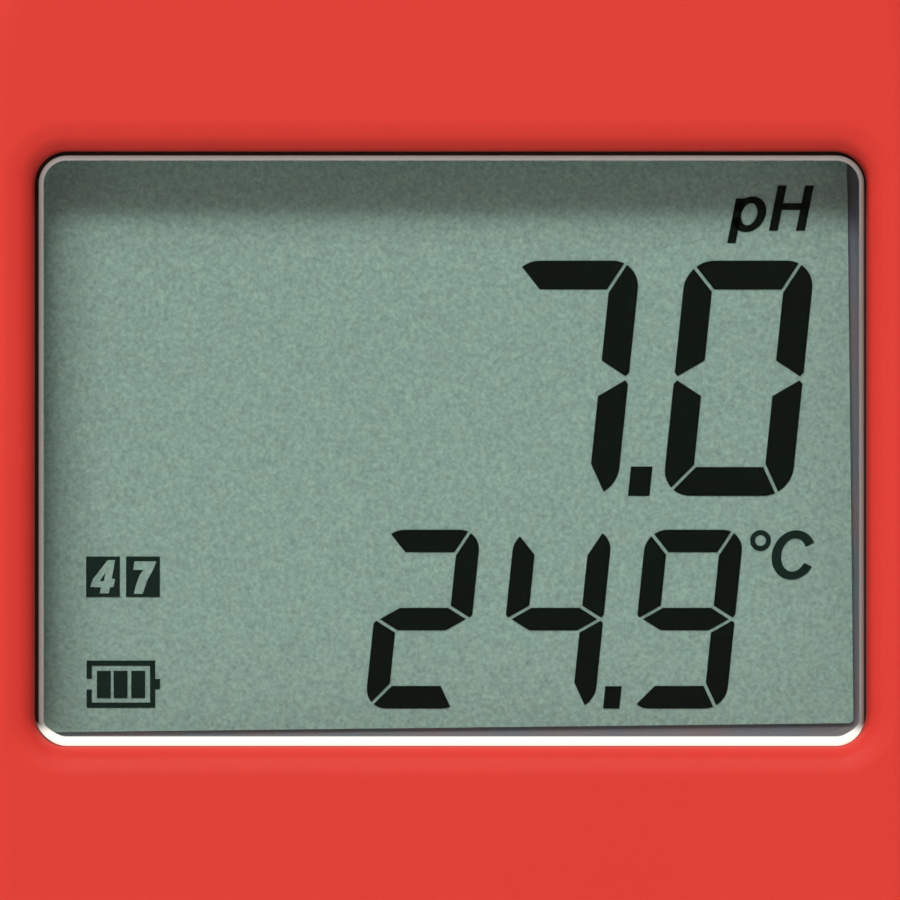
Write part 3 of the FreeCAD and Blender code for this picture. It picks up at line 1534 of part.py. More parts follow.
def make_protective_cap():
    body = new_body("protective_cap")
    neck_block(body, 0, d.cap_height)
    round_edges(body, d.foot_radius, at_level(2, 0))
    inner_w, inner_d = d.neck_width - d.cap_wall * 2, d.housing_depth - d.cap_wall * 2
    top = d.cap_height + PAST
    carve(body, "XY_Plane", lambda s: rounded(s, inner_w, inner_d, d.cap_corner), d.cap_floor, top)
    bevel_edges(body, d.rim_bevel, at_level(2, d.cap_height, reach_x=inner_w / 2))
    grip_grooves(body, d.cap_height - d.grooves_below_cap_rim, FRONT_Y)
    return part(body)


def make_cap_sponge():
    """The damp sponge that keeps the bulb from drying out."""
    body = new_body("cap_sponge")
    width = d.neck_width - (d.cap_wall + d.sponge_play) * 2
    depth = d.housing_depth - (d.cap_wall + d.sponge_play) * 2
    corner = d.cap_corner - d.sponge_play
    top = d.cap_floor + d.sponge_height
    fill(body, "XY_Plane", lambda s: rounded(s, width, depth, corner), d.cap_floor, top)
    round_edges(body, d.sponge_edge_radius, at_level(2, top))
    return part(body)


# ---------------------------------------------------------------- make, check and write


def check_and_write():
    """Every object must be up to date and every part one or more valid closed solids."""
    doc.recompute()
    for thing in doc.Objects:
        if "Invalid" in thing.State or "Error" in thing.State:
            raise RuntimeError(f"{thing.Label}: {thing.State}")
    os.makedirs("parts", exist_ok=True)
    for body in PARTS:
        shape = body.Shape
        if shape.isNull() or not shape.isValid() or not shape.Solids:
            raise RuntimeError(f"{body.Label}: bad shape")
        if any(solid.Volume < SPECK for solid in shape.Solids):
            raise RuntimeError(f"{body.Label}: an empty solid")
        shape.exportStep(f"parts/{body.Label}.step")
        print(f"{body.Label}: {len(shape.Solids)} solid(s), {shape.Volume:.1f} mm3")


make_protective_cap()
make_cap_sponge()
make_probe_sleeve()
make_probe_gasket()
make_cap_seal()
make_electrode()
make_temperature_probe()
make_probe_board()
make_front_shell()
make_rear_shell()
make_housing_seal()
make_housing_screws()
make_rear_label()
make_display_lens()
make_lens_tape()
make_display_cell()
make_lcd_holder()
make_zebra_strip()
make_main_board()
make_board_screws()
make_chips()
make_crystal()
make_small_parts()
make_button_key()
make_button_boot()
make_switch()
make_coin_cell()
make_battery_contacts()
make_battery_cover()
make_cover_seal()
check_and_write()
print(f"{len(PARTS)} parts, {TOP_Z.number:.2f} mm tall")
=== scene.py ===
import math

import bpy
import numpy as np
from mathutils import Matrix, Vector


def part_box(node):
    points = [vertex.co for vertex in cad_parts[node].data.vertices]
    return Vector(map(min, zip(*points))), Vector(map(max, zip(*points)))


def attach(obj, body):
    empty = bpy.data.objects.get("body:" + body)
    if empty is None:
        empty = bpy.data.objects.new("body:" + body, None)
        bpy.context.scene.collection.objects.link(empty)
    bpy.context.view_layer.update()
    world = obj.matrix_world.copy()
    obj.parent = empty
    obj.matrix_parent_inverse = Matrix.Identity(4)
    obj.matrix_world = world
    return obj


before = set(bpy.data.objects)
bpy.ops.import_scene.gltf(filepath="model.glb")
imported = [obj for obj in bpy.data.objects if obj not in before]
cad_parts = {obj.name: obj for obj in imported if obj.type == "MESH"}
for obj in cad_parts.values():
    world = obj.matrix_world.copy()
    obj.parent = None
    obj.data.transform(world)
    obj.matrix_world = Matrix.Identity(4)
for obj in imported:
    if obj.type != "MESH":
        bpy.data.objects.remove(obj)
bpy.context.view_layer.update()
mm = 0.001
print("meter: frame loaded,", len(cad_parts), "nodes")


# a socket that takes part in sums: every operator adds one Math node
class Wire:
    def __init__(self, finish, socket):
        self.finish = finish
        self.socket = socket

    def maths(self, operation, first, second):
        return self.finish.add("ShaderNodeMath", {"operation": operation}, {0: first, 1: second}).out()

    def __add__(self, other):
        return self.maths("ADD", self, other)

    def __sub__(self, other):
        return self.maths("SUBTRACT", self, other)

    def __mul__(self, other):
        return self.maths("MULTIPLY", self, other)

    def __truediv__(self, other):
        return self.maths("DIVIDE", self, other)

    def __radd__(self, other):
        return self.maths("ADD", other, self)

    def __rsub__(self, other):
        return self.maths("SUBTRACT", other, self)

    def __rmul__(self, other):
        return self.maths("MULTIPLY", other, self)

    def atLeast(self, other):
        return self.maths("MAXIMUM", self, other)

    def atMost(self, other):
        return self.maths("MINIMUM", self, other)


class Added:  # a node that has been added, with its outputs by name or number
    def __init__(self, finish, node):
        self.finish = finish
        self.node = node

    def out(self, key=0):
        return Wire(self.finish, self.node.outputs[key])


class NodeTree:  # the nodes of a material or of the world
    def __init__(self, tree):
        self.tree = tree

    # settings are set first, then each input gets a value or a link
    def add(self, kind, settings=None, inputs=None):
        node = self.tree.nodes.new(kind)
        for key, value in (settings or {}).items():
            if key == "stops":
                setStops(node.color_ramp, value)
            else:
                setattr(node, key, value)
        for key, value in (inputs or {}).items():
            self.feed(node.inputs[key], value)
        return Added(self, node)

    def feed(self, socket, value):
        if isinstance(value, Wire):
            self.tree.links.new(value.socket, socket)
        elif value is not None:
            socket.default_value = value

    def mix(self, amount, first, second):  # colours
        node = self.add("ShaderNodeMix", {"data_type": "RGBA"}, {0: amount, 6: first, 7: second})
        return node.out(2)

    # run between two levels, straight or eased at both ends
    def band(self, value, low, high, outLow=0.0, outHigh=1.0, eased=False):
        settings = {"clamp": True, "interpolation_type": "SMOOTHSTEP" if eased else "LINEAR"}
        inputs = {0: value, 1: low, 2: high, 3: outLow, 4: outHigh}
        return self.add("ShaderNodeMapRange", settings, inputs).out(0)


class Finish(NodeTree):  # one material being put together
    def __init__(self, name, constants=None):
        self.material = bpy.data.materials.new(name)
        self.material.use_nodes = True
        super().__init__(self.material.node_tree)
        self.shader = self.tree.nodes["Principled BSDF"]
        self.output = self.tree.nodes["Material Output"]
        for socket, value in (constants or {}).items():
            self.shader.inputs[socket].default_value = value
        self.place = self.add("ShaderNodeTexCoord").out("Object")

    def varies(self, socket, value):
        self.feed(self.shader.inputs[socket], value)

    def noise(self, size, detail=2.0, rough=0.5, place=None):  # size is that of one grain in metres
        inputs = {"Vector": place or self.place, "Scale": 1 / size, "Detail": detail, "Roughness": rough}
        return self.add("ShaderNodeTexNoise", {}, inputs).out(0)

    def relief(self, height, strength, depth):
        inputs = {"Strength": strength, "Distance": depth, "Height": height}
        self.varies("Normal", self.add("ShaderNodeBump", {}, inputs).out("Normal"))

    def axis(self, name):
        return self.add("ShaderNodeSeparateXYZ", {}, {0: self.place}).out(name)

    # distance to the edge of a round-cornered plate in x and z, less than 0 inside: how far past the
    # corner's centre, less the corner
    def plateEdge(self, middle, halfWidth, halfHeight, corner):
        centre, reach = (middle[0], 0, middle[1]), (halfWidth - corner, 10, halfHeight - corner)
        offset = self.add("ShaderNodeVectorMath", {"operation": "SUBTRACT"}, {0: self.place, 1: centre})
        flat = self.add("ShaderNodeVectorMath", {"operation": "ABSOLUTE"}, {0: offset.out()})
        past = self.add("ShaderNodeVectorMath", {"operation": "SUBTRACT"}, {0: flat.out(), 1: reach})
        parts = self.add("ShaderNodeSeparateXYZ", {}, {0: past.out()})
        along, up = parts.out("X"), parts.out("Z")
        across, rise = along.atLeast(0.0), up.atLeast(0.0)
        outer = along.maths("SQRT", across * across + rise * rise, None)
        return along.atLeast(up).atMost(0.0) + outer - corner

    def clear(self, tint):
        return self.add("ShaderNodeBsdfTransparent", {}, {"Color": tint}).out()

    def gloss(self, rough):
        return self.add("ShaderNodeBsdfGlossy", {}, {"Color": (1, 1, 1, 1), "Roughness": rough}).out()

    def blend(self, amount, first, second):  # surfaces
        return self.add("ShaderNodeMixShader", {}, {0: amount, 1: first, 2: second}).out()

    # share that a clear wall reflects, the same from both sides: bare + (1 - bare) (1 - cos) to the fifth
    def reflected(self, ior):
        bare = ((ior - 1) / (ior + 1)) ** 2
        facing = self.add("ShaderNodeLayerWeight", {}, {"Blend": 0.5}).out("Facing")
        return bare + (1 - bare) * facing.maths("POWER", facing, 5.0)

    def finishWith(self, surface):
        self.feed(self.output.inputs["Surface"], surface)


def setStops(ramp, stops):
    while len(ramp.elements) > 1:
        ramp.elements.remove(ramp.elements[-1])
    ramp.elements[0].position, ramp.elements[0].color = stops[0]
    for position, colour in stops[1:]:
        ramp.elements.new(position).color = colour


def linear(red, green, blue, alpha=1.0):  # from the 0 to 255 scale of a colour picker to light
    scaled = np.array([red, green, blue]) / 255
    light = np.where(scaled <= 0.04045, scaled / 12.92, ((scaled + 0.055) / 1.055) ** 2.4)
    return (*light.tolist(), alpha)


def shade(colour, factor):
    return tuple(min(1.0, part * factor) for part in colour[:3]) + (colour[3],)


def numbered(name, count):
    return " ".join(f"{name}_{place}" for place in range(1, count + 1))


def middleOf(name):  # in x and z
    low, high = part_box(name)
    return (low[0] + high[0]) / 2, (low[2] + high[2]) / 2


def paint(names, finish):  # one finish on each named node
    for name in names.split():
        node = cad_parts[name]
        node.data.materials.clear()
        node.data.materials.append(finish.material)


plasticBase = {
    "shine": 0.5,
    "drift": 20 * mm,  # over which the colour changes
    "vary": 0.04,
    "grain": 0.35 * mm,
    "roughVary": 0.12,
    "relief": 0.12,
    "depth": 0.03 * mm,
}


# plastic with a moulded grain: the colour drifts a little and the grain gives the relief. With a dip, the
# face also eases down towards an opening: a ramp across its edge, from inner to outer
def mouldedPlastic(name, ownLook, dip=None):
    look = {**plasticBase, **ownLook}
    plastic = Finish(name, {"Specular IOR Level": look["shine"]})
    drift = plastic.noise(look["drift"], 3)
    grain = plastic.noise(look["grain"], 2)
    low, high = (shade(look["colour"], 1 + part * look["vary"]) for part in (-1, 1))
    plastic.varies("Base Color", plastic.mix(drift, low, high))
    plastic.varies("Roughness", look["rough"] + (grain - 0.5) * look["roughVary"])
    strength, depth = look["relief"], look["depth"]
    if dip:
        edge = plastic.plateEdge(middleOf("lens_tape"), dip["halfWidth"], dip["halfHeight"], dip["corner"])
        ramp = plastic.band(edge, dip["inner"], dip["outer"], eased=True)
        plastic.relief(ramp + grain * (strength * depth / dip["depth"]), 1.0, dip["depth"])
    else:
        plastic.relief(grain, strength, depth)
    return plastic


housingLook = {
    "colour": linear(204, 54, 45),
    "rough": 0.55,
    "vary": 0.03,
    "drift": 12 * mm,
    "relief": 0.08,
    "shine": 0.15,
}
windowDip = {
    "halfWidth": 16.51 * mm,
    "halfHeight": 11.8 * mm,
    "corner": 1.3 * mm,
    "inner": -0.3 * mm,
    "outer": 1.2 * mm,
    "depth": 0.36 * mm,
}
sleeveLook = {"colour": linear(38, 38, 40), "rough": 0.45, "vary": 0.08}
keyLook = {"colour": linear(52, 52, 54), "rough": 0.5, "vary": 0.08, "grain": 0.25 * mm}
coverLook = {"colour": linear(46, 46, 48), "rough": 0.42, "vary": 0.08}
sealLook = {"colour": linear(30, 30, 31), "rough": 0.7, "vary": 0.12, "shine": 0.3}
switchLook = {"colour": linear(22, 22, 23), "rough": 0.4, "vary": 0.1}
holderLook = {"colour": linear(225, 225, 220), "rough": 0.5, "vary": 0.03}
tapeLook = {"colour": linear(26, 14, 11), "rough": 0.9, "vary": 0.2, "shine": 0.1}

paint("front_shell", mouldedPlastic("redFront", housingLook, windowDip))
paint("rear_shell", mouldedPlastic("redRear", housingLook))
paint("probe_sleeve", mouldedPlastic("darkSleeve", sleeveLook))
paint("button_key", mouldedPlastic("buttonGrey", keyLook))
paint("battery_cover", mouldedPlastic("coverGrey", coverLook))
rubber = mouldedPlastic("sealRubber", sealLook)
paint("housing_seal probe_gasket cap_seal battery_cover_seal stem_seal button_boot", rubber)
blackMoulding = mouldedPlastic("blackMoulding", switchLook)
paint("switch_body switch_plunger controller_chip amplifier_chip", blackMoulding)
paint("lcd_holder", mouldedPlastic("whiteHolder", holderLook))
paint("lens_tape", mouldedPlastic("lensTape", tapeLook))
print("meter: plastics done")


metalBase = {
    "stretch": (1, 1, 1),
    "grain": 0.4 * mm,
    "roughVary": 0.2,
    "relief": 0.1,
    "depth": 0.02 * mm,
    "stain": 4 * mm,
    "stained": 0.86,  # the darker tone, as a share of the colour
}


# brushed or plain metal: a stretched noise gives the direction of the brushing
def plainMetal(name, ownLook):
    look = {**metalBase, **ownLook}
    metal = Finish(name, {"Metallic": 1.0})
    inputs = {"Vector": metal.place, "Scale": look["stretch"]}
    stretched = metal.add("ShaderNodeMapping", {}, inputs).out(0)
    streaks = metal.noise(look["grain"], 3, 0.6, stretched)
    stain = metal.noise(look["stain"], 3)
    metal.varies("Base Color", metal.mix(stain, shade(look["colour"], look["stained"]), look["colour"]))
    metal.varies("Roughness", look["rough"] + (streaks - 0.5) * look["roughVary"])
    metal.relief(streaks, look["relief"], look["depth"])
    return metal


steelLook = {"colour": linear(196, 196, 194), "rough": 0.28, "stretch": (1, 1, 0.08)}
cellLook = {"colour": linear(205, 205, 202), "rough": 0.22, "grain": 0.6 * mm}
screwLook = {"colour": linear(176, 176, 172), "rough": 0.34, "grain": 0.3 * mm}
brassLook = {"colour": linear(214, 176, 96), "rough": 0.3}
silverLook = {"colour": linear(150, 148, 142), "rough": 0.5, "grain": 0.2 * mm}

paint("temperature_sheath", plainMetal("sheathSteel", steelLook))
paint("battery_cell crystal", plainMetal("cellSteel", cellLook))
paint("housing_screws board_screws " + numbered("thermistor_lead", 2), plainMetal("screwSteel", screwLook))
brass = plainMetal("contactBrass", brassLook)
paint("battery_contact_negative battery_contact_positive " + numbered("header_pin", 4), brass)
paint("silver_electrode reference_wire", plainMetal("silverWire", silverLook))
print("meter: metals done")


wisp = {"size": 6 * mm, "least": 0.7, "more": 0.6}  # of the haze in every clear wall


# clear wall: see-through with a reflection that grows towards grazing; wisps thicken its haze in places
def clearWall(name, look):
    wall = Finish(name)
    wall.tree.nodes.remove(wall.shader)
    haze = look["veil"] * (wisp["least"] + wisp["more"] * wall.noise(wisp["size"], 3))
    body = wall.add("ShaderNodeBsdfDiffuse", {}, {"Color": look["haze"]}).out()
    veiled = wall.blend(haze, wall.clear(look["tint"]), body)
    wall.finishWith(wall.blend(wall.reflected(look["ior"]), veiled, wall.gloss(look["rough"])))
    return wall


capLook = {
    "tint": (0.74, 0.78, 0.80, 1),
    "haze": linear(190, 198, 202),
    "veil": 0.13,
    "rough": 0.08,
    "ior": 1.45,
}
tubeLook = {
    "tint": (0.93, 0.96, 0.96, 1),
    "haze": linear(225, 235, 235),
    "veil": 0.04,
    "rough": 0.02,
    "ior": 1.48,
}
bulbLook = {
    "tint": (0.86, 0.93, 0.95, 1),
    "haze": linear(205, 230, 235),
    "veil": 0.10,
    "rough": 0.02,
    "ior": 1.5,
}

paint("protective_cap", clearWall("clearCap", capLook))
paint("electrode_tube electrode_stem", clearWall("probeGlass", tubeLook))
paint("sensing_bulb", clearWall("bulbGlass", bulbLook))

windowX, windowZ = middleOf("lens_tape")
windowX += 0.04 * mm  # the display is set out from just right of the window's middle
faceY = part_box("front_shell")[0][1]

lensLow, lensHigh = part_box("display_lens")
lensLook = {
    "lipAcross": 1.325 * mm,  # how far the flange stands out past the raised plate
    "lipUp": 1.2675 * mm,
    "corner": 1.125 * mm,
    "rim": 0.21 * mm,  # width of the rounded edge that catches the light
    "soft": 0.02 * mm,
    "rimColour": linear(140, 138, 134),
    "smeared": 0.85,  # the rim's darker tone, as a share of its colour
    "rimRough": 0.5,
    "rimShine": 0.2,
    "smear": 0.8 * mm,
    "groove": linear(38, 20, 15),  # dark brown, on the flange round the plate
    # painted glow: the emission colour along the plate's foot, which stands in for a highlight
    "paintedFootGlow": linear(238, 237, 228),
    "glowStart": 0.95 * mm,  # above the plate's lower edge
    "glowFull": 0.45 * mm,
    "glowWidth": 0.17 * mm,  # how much wider the rim is drawn along the foot, under the painted glow
    "tint": (0.97, 0.98, 0.975, 1),
    "ior": 1.35,
    "rough": 0.03,
}


# the raised plate is clear, and its rounded front edge scatters light. Along the foot the rim is widened and
# given a painted glow: an emission that stands in for a bright highlight there, though the lens is no lamp
def clearLens(look):
    rim = {"Roughness": look["rimRough"], "Specular IOR Level": look["rimShine"], "Emission Strength": 1.0}
    lens = Finish("clearLens", rim)
    halfWidth = (lensHigh[0] - lensLow[0]) / 2 - look["lipAcross"]
    halfHeight = (lensHigh[2] - lensLow[2]) / 2 - look["lipUp"]
    lensMiddle = middleOf("display_lens")
    edge = lens.plateEdge(lensMiddle, halfWidth, halfHeight, look["corner"])
    foot = lensMiddle[1] - halfHeight
    # painted glow: the mask along the foot for the emission and for the widened rim
    paintedGlowAtFoot = lens.band(lens.axis("Z"), foot + look["glowStart"], foot + look["glowFull"], eased=True)
    widened = edge + paintedGlowAtFoot * look["glowWidth"]
    onRim = lens.band(widened, -look["rim"] - look["soft"], -look["rim"] + look["soft"])
    rimBack = lensLow[1] + look["rim"]
    atFront = lens.band(lens.axis("Y"), rimBack + look["rim"], rimBack)
    inGroove = lens.band(edge, 0.5 * look["soft"], 1.5 * look["soft"])
    darker = shade(look["rimColour"], look["smeared"])
    smeared = lens.mix(lens.noise(look["smear"], 2), darker, look["rimColour"])
    lens.varies("Base Color", lens.mix(inGroove, smeared, look["groove"]))
    # painted glow: the lens's foot emits light, though it is no lamp
    lens.varies("Emission Color", lens.mix(paintedGlowAtFoot, (0, 0, 0, 1), look["paintedFootGlow"]))
    plain = lens.blend(lens.reflected(look["ior"]), lens.clear(look["tint"]), lens.gloss(look["rough"]))
    edged = (onRim * atFront).atLeast(inGroove)
    lens.finishWith(lens.blend(edged, plain, Wire(lens, lens.shader.outputs[0])))
    return lens


paint("display_lens", clearLens(lensLook))
print("meter: clear pieces done")

displayLook = {
    "fieldCool": linear(130, 156, 150),
    "fieldWarm": linear(134, 159, 148),
    "patch": 0.6 * mm,
    "mottle": 0.2 * mm,
    "mottleShare": 0.8,
    "speckle": 0.1 * mm,
    "speckleShare": 0.45,
    "border": linear(98, 104, 112),
    "borderWarm": linear(112, 102, 108),
    "borderPatch": 3 * mm,
}


# the field's green-grey: patches from cool to warm, times 1 + mottle + the reflector's fine speckle
def displayField(name, look, dim=1.0):
    field = Finish(name, {"Specular IOR Level": 0.15, "Roughness": 0.6})
    patches = field.band(field.noise(look["patch"], 2), 0.35, 0.65)
    base = field.mix(patches, look["fieldCool"], look["fieldWarm"])
    mottle = (field.noise(look["mottle"], 3, 0.6) - 0.5) * look["mottleShare"]
    speckle = (field.noise(look["speckle"], 2, 0.7) - 0.5) * look["speckleShare"]
    light = (1 + mottle + speckle) * dim
    bright = field.add("ShaderNodeCombineColor", {}, {0: light, 1: light, 2: light}).out()
    settings = {"data_type": "RGBA", "blend_type": "MULTIPLY"}
    field.varies("Base Color", field.add("ShaderNodeMix", settings, {0: 1.0, 6: base, 7: bright}).out(2))
    return field


# bare glass outside the film: darker, from blue-grey to violet-grey
def glassBorder(name, look):
    glass = Finish(name, {"Specular IOR Level": 0.3, "Roughness": 0.4})
    patches = glass.band(glass.noise(look["borderPatch"], 3), 0.4, 0.6)
    glass.varies("Base Color", glass.mix(patches, look["border"], look["borderWarm"]))
    return glass


fieldFinish = displayField("displayField", displayLook)
paint("lcd_polarizer", fieldFinish)
paint("lcd_reflector", displayField("displayReflector", displayLook, 0.9))
paint("lcd_front_glass lcd_rear_glass", glassBorder("displayGlass", displayLook))
print("meter: display field done")


# flat print on a surface: outlines in x and z become thin closed slabs between two depths
def slabMesh(outlines, near, far):
    points, faces, start = [], [], 0
    for outline in outlines:
        outline = np.asarray(outline, float)
        count = len(outline)
        for depth in (near, far):
            points.append(np.column_stack([outline[:, 0], np.full(count, depth), outline[:, 1]]))
        ring = np.arange(count)
        following = np.roll(ring, -1)
        sides = np.column_stack([ring, ring + count, following + count, following]) + start
        faces.append((ring + start).tolist())
        faces.append((ring[::-1] + count + start).tolist())
        faces.extend(sides.tolist())
        start += 2 * count
    return np.concatenate(points), faces


# a flat strip between two edges that run side by side in x and z: four corners at each step
def stripMesh(left, right, near, far, closed=False):
    corners = [(left, near), (left, far), (right, far), (right, near)]
    rows = len(left)
    grid = np.stack([np.column_stack([c[:, 0], np.full(rows, y), c[:, 1]]) for c, y in corners], 1)
    row = np.arange(rows if closed else rows - 1)
    following = (row + 1) % rows
    faces = []
    for column in range(4):
        after = (column + 1) % 4
        quads = [row * 4 + column, following * 4 + column, following * 4 + after, row * 4 + after]
        faces.extend(np.column_stack(quads).tolist())
    if not closed:
        last = (rows - 1) * 4
        faces.extend([[0, 1, 2, 3], [last + 3, last + 2, last + 1, last]])
    return grid.reshape(-1, 3), faces


# a band of one width along a path: its edges lie half the width to each side, along the path's normal
def bandMesh(path, width, near, far, closed=False):
    way = np.roll(path, -1, 0) - np.roll(path, 1, 0) if closed else np.gradient(path, axis=0)
    way /= np.linalg.norm(way, axis=1, keepdims=True)
    normal = np.column_stack([-way[:, 1], way[:, 0]]) * width / 2
    return stripMesh(path + normal, path - normal, near, far, closed)


# several meshes in one: each part's faces count on from the points before it
def joinMeshes(parts):
    points, faces, start = [], [], 0
    for part, rings in parts:
        points.append(part)
        faces.extend([[corner + start for corner in ring] for ring in rings])
        start += len(part)
    return np.concatenate(points), faces


# a new object from points and faces, riding on a body
def addPiece(name, shape, finish, body):
    points, faces = shape
    mesh = bpy.data.meshes.new(name)
    mesh.from_pydata(points.tolist(), [], faces)
    mesh.materials.append(finish.material)
    mesh.update()
    piece = bpy.data.objects.new(name, mesh)
    bpy.context.collection.objects.link(piece)
    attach(piece, body)
    return piece


def block(left, low, width, height):  # an upright rectangle, anticlockwise
    return np.array([(left, low), (left + width, low), (left + width, low + height), (left, low + height)])


def arc(middleX, middleZ, radiusX, radiusZ, start, end, steps=40):  # degrees, anticlockwise
    turn = np.radians(np.linspace(start, end, steps))
    return np.column_stack([middleX + radiusX * np.cos(turn), middleZ + radiusZ * np.sin(turn)])


def lean(points, slope, foot=0.0):  # italics: higher points move to the right
    points = np.array(points, float)
    points[:, 0] += slope * (points[:, 1] - foot)
    return points


digitLook = {
    "width": 5.14,  # all sizes of the large digits are in millimetres
    "height": 9.38,
    "stroke": 1.15,
    "corner": 1.13,
    "gap": 0.125,
    "mitreLeft": 0.89,  # across over down, for the cut between two segments at a left corner
    "mitreRight": 0.545,
    "tipInset": 0.13,
    "tipLift": 0.08,
    "sideLift": 0.23,
    "innerLift": 0.71,
    "slope": 0.103,
    "pointWidth": 0.86,
    "pointHeight": 1.17,
    "smallScale": 0.76,
    "smallStroke": 0.90,
}

litSegments = {"0": "abcdef", "2": "abdeg", "4": "bcfg", "7": "abc", "9": "abcdfg"}


# the segments of one digit, u to the right and v down from its top left corner. A corner is the arc
# R - R cos, R - R sin, cut by a line out from the inner corner with half the gap on each side of it
def segmentOutlines(look):
    width, height, stroke, corner = look["width"], look["height"], look["stroke"], look["corner"]
    middle, half = height / 2, look["gap"] / 2
    spread = math.degrees(math.asin(half / corner))

    def cornerArc(start, end):
        turn = np.radians(np.linspace(start, end, 10))
        return np.column_stack([corner - corner * np.cos(turn), corner - corner * np.sin(turn)])

    def mirrorU(points):
        return np.column_stack([width - points[:, 0], points[:, 1]])[::-1]

    def mirrorV(points):
        return np.column_stack([points[:, 0], height - points[:, 1]])[::-1]

    def topEnd(mitre):
        turn = math.degrees(math.atan(1 / mitre)) + spread
        return np.vstack([[(stroke + half * math.hypot(1, mitre), stroke)], cornerArc(turn, 90)])

    def upperSide(mitre):
        turn = math.degrees(math.atan(1 / mitre)) - spread
        foot = [
            (0, middle - look["sideLift"]),
            (look["tipInset"], middle - look["tipLift"]),
            (stroke, middle - look["innerLift"]),
            (stroke, stroke + half * math.hypot(1, mitre) / mitre),
        ]
        return np.vstack([cornerArc(turn, 0), foot])

    top = np.vstack([topEnd(look["mitreLeft"]), mirrorU(topEnd(look["mitreRight"]))])
    upperLeft, upperRight = upperSide(look["mitreLeft"]), mirrorU(upperSide(look["mitreRight"]))
    slant = math.atan2(look["innerLift"] - look["tipLift"], stroke - look["tipInset"])
    tip = look["tipInset"] + (look["gap"] - look["tipLift"] * math.cos(slant)) / math.sin(slant)
    end = np.array([(tip, middle), (tip + stroke / 2 / math.tan(slant), middle - stroke / 2)])
    centre = np.vstack([end, mirrorU(end), mirrorV(mirrorU(end))[1:], mirrorV(end)[:1]])
    return {
        "a": top,
        "b": upperRight,
        "c": mirrorV(upperRight),
        "d": mirrorV(top),
        "e": mirrorV(upperLeft),
        "f": upperLeft,
        "g": centre,
    }


# digits side by side from left, their tops level; each leans by the slope as v grows
def digitRow(look, text, left, top, pitch):
    shapes = []
    segments = segmentOutlines(look)
    for place, figure in enumerate(text):
        for name in litSegments[figure]:
            u, v = segments[name][:, 0], segments[name][:, 1]
            x = windowX / mm + left + place * pitch + u - look["slope"] * v
            shapes.append(anticlockwise(np.column_stack([x, windowZ / mm + top - v])))
    return shapes


# the decimal point: a rectangle at the digits' foot, leaning with them
def pointShape(look, left, top):
    low, high = look["height"], look["height"] - look["pointHeight"]
    v = np.array([low, low, high, high])
    u = np.array([0, look["pointWidth"], look["pointWidth"], 0]) + left
    x = windowX / mm + u - look["slope"] * v
    return [anticlockwise(np.column_stack([x, windowZ / mm + top - v]))]


def anticlockwise(outline):  # signed area by the shoelace sum
    x, z = outline[:, 0], outline[:, 1]
    area = np.sum(x * np.roll(z, -1) - np.roll(x, -1) * z)
    return outline if area > 0 else outline[::-1]


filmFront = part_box("lcd_polarizer")[0][1]
printLook = {"proud": 0.035 * mm, "lift": 0.008 * mm, "figure": 0.012 * mm, "figureLift": 0.002 * mm}
printNear, printFar = filmFront - printLook["proud"], filmFront - printLook["lift"]

readoutLook = {
    "value": "70",
    "valueLeft": 2.405,  # places are in millimetres from the middle of the window
    "valueTop": 7.496,
    "valuePitch": 6.955,
    "pointLeft": 8.00,
    "warmth": "249",
    "warmthLeft": -2.727,
    "warmthTop": -3.233,
    "warmthPitch": 5.243,
    "warmthPointLeft": 6.774,
    "ink": linear(8, 17, 12),
    "paleInk": linear(20, 36, 31),
}


inkLook = {"speckle": 0.12 * mm, "vary": 0.25, "rough": 0.7, "shine": 0.05}


def inkFinish(name, colour):  # flat ink with a fine speckle
    ink = Finish(name, {"Specular IOR Level": inkLook["shine"], "Roughness": inkLook["rough"]})
    low, high = (shade(colour, 1 + part * inkLook["vary"]) for part in (-1, 1))
    ink.varies("Base Color", ink.mix(ink.noise(inkLook["speckle"], 2, 0.7), low, high))
    return ink


inkBlack = inkFinish("displayInk", readoutLook["ink"])
inkPale = inkFinish("displayInkPale", readoutLook["paleInk"])


# the second reading's digits: every length is scaled but the stroke, which is set, and the gap
def smallDigits(look):
    small = dict(look)
    for key, size in look.items():
        if key not in ("slope", "smallScale", "smallStroke", "gap", "mitreLeft", "mitreRight"):
            small[key] = size * look["smallScale"]
    small["stroke"] = look["smallStroke"]
    return small


# both readings, each a row of digits and a point
def readoutDigits(look, digits):
    small = smallDigits(digits)
    shapes = digitRow(digits, look["value"], look["valueLeft"], look["valueTop"], look["valuePitch"])
    shapes += pointShape(digits, look["pointLeft"], look["valueTop"])
    shapes += digitRow(small, look["warmth"], look["warmthLeft"], look["warmthTop"], look["warmthPitch"])
    shapes += pointShape(small, look["warmthPointLeft"], look["warmthTop"])
    return slabMesh([shape * mm for shape in shapes], printNear, printFar)


addPiece("readoutDigits", readoutDigits(readoutLook, digitLook), inkBlack, "housing")

lettersLook = {
    "slope": 0.20,
    "foot": 8.69,  # heights of the letters are above this line
    "tall": 1.80,
    "stem": 0.355,
    "hLeft": 12.655,
    "hWidth": 1.435,
    "barLow": 0.826,
    "barHigh": 1.093,
    "pLeft": 11.088,
    "pStem": 0.337,
    "pLow": -0.496,
    "pHigh": 1.284,
    "bowlX": 11.741,
    "bowlZ": 0.654,
    "bowlOuter": (0.667, 0.712),
    "bowlInner": (0.311, 0.438),
    "bowlEnd": 165,  # degrees each way from the right, to end inside the stem
    "degreeX": 12.32,
    "degreeZ": -3.663,
    "degreeRadius": 0.317,
    "degreeStroke": 0.20,
    "cX": 13.647,
    "cZ": -4.24,
    "cOuter": (0.88, 0.985),
    "cInner": (0.50, 0.664),
    "cEnds": (30, 332),
    "cSlope": 0.108,
}


def onWindow(shape):  # from millimetres about the window's middle to the frame's metres
    return np.asarray(shape) * mm + (windowX, windowZ)


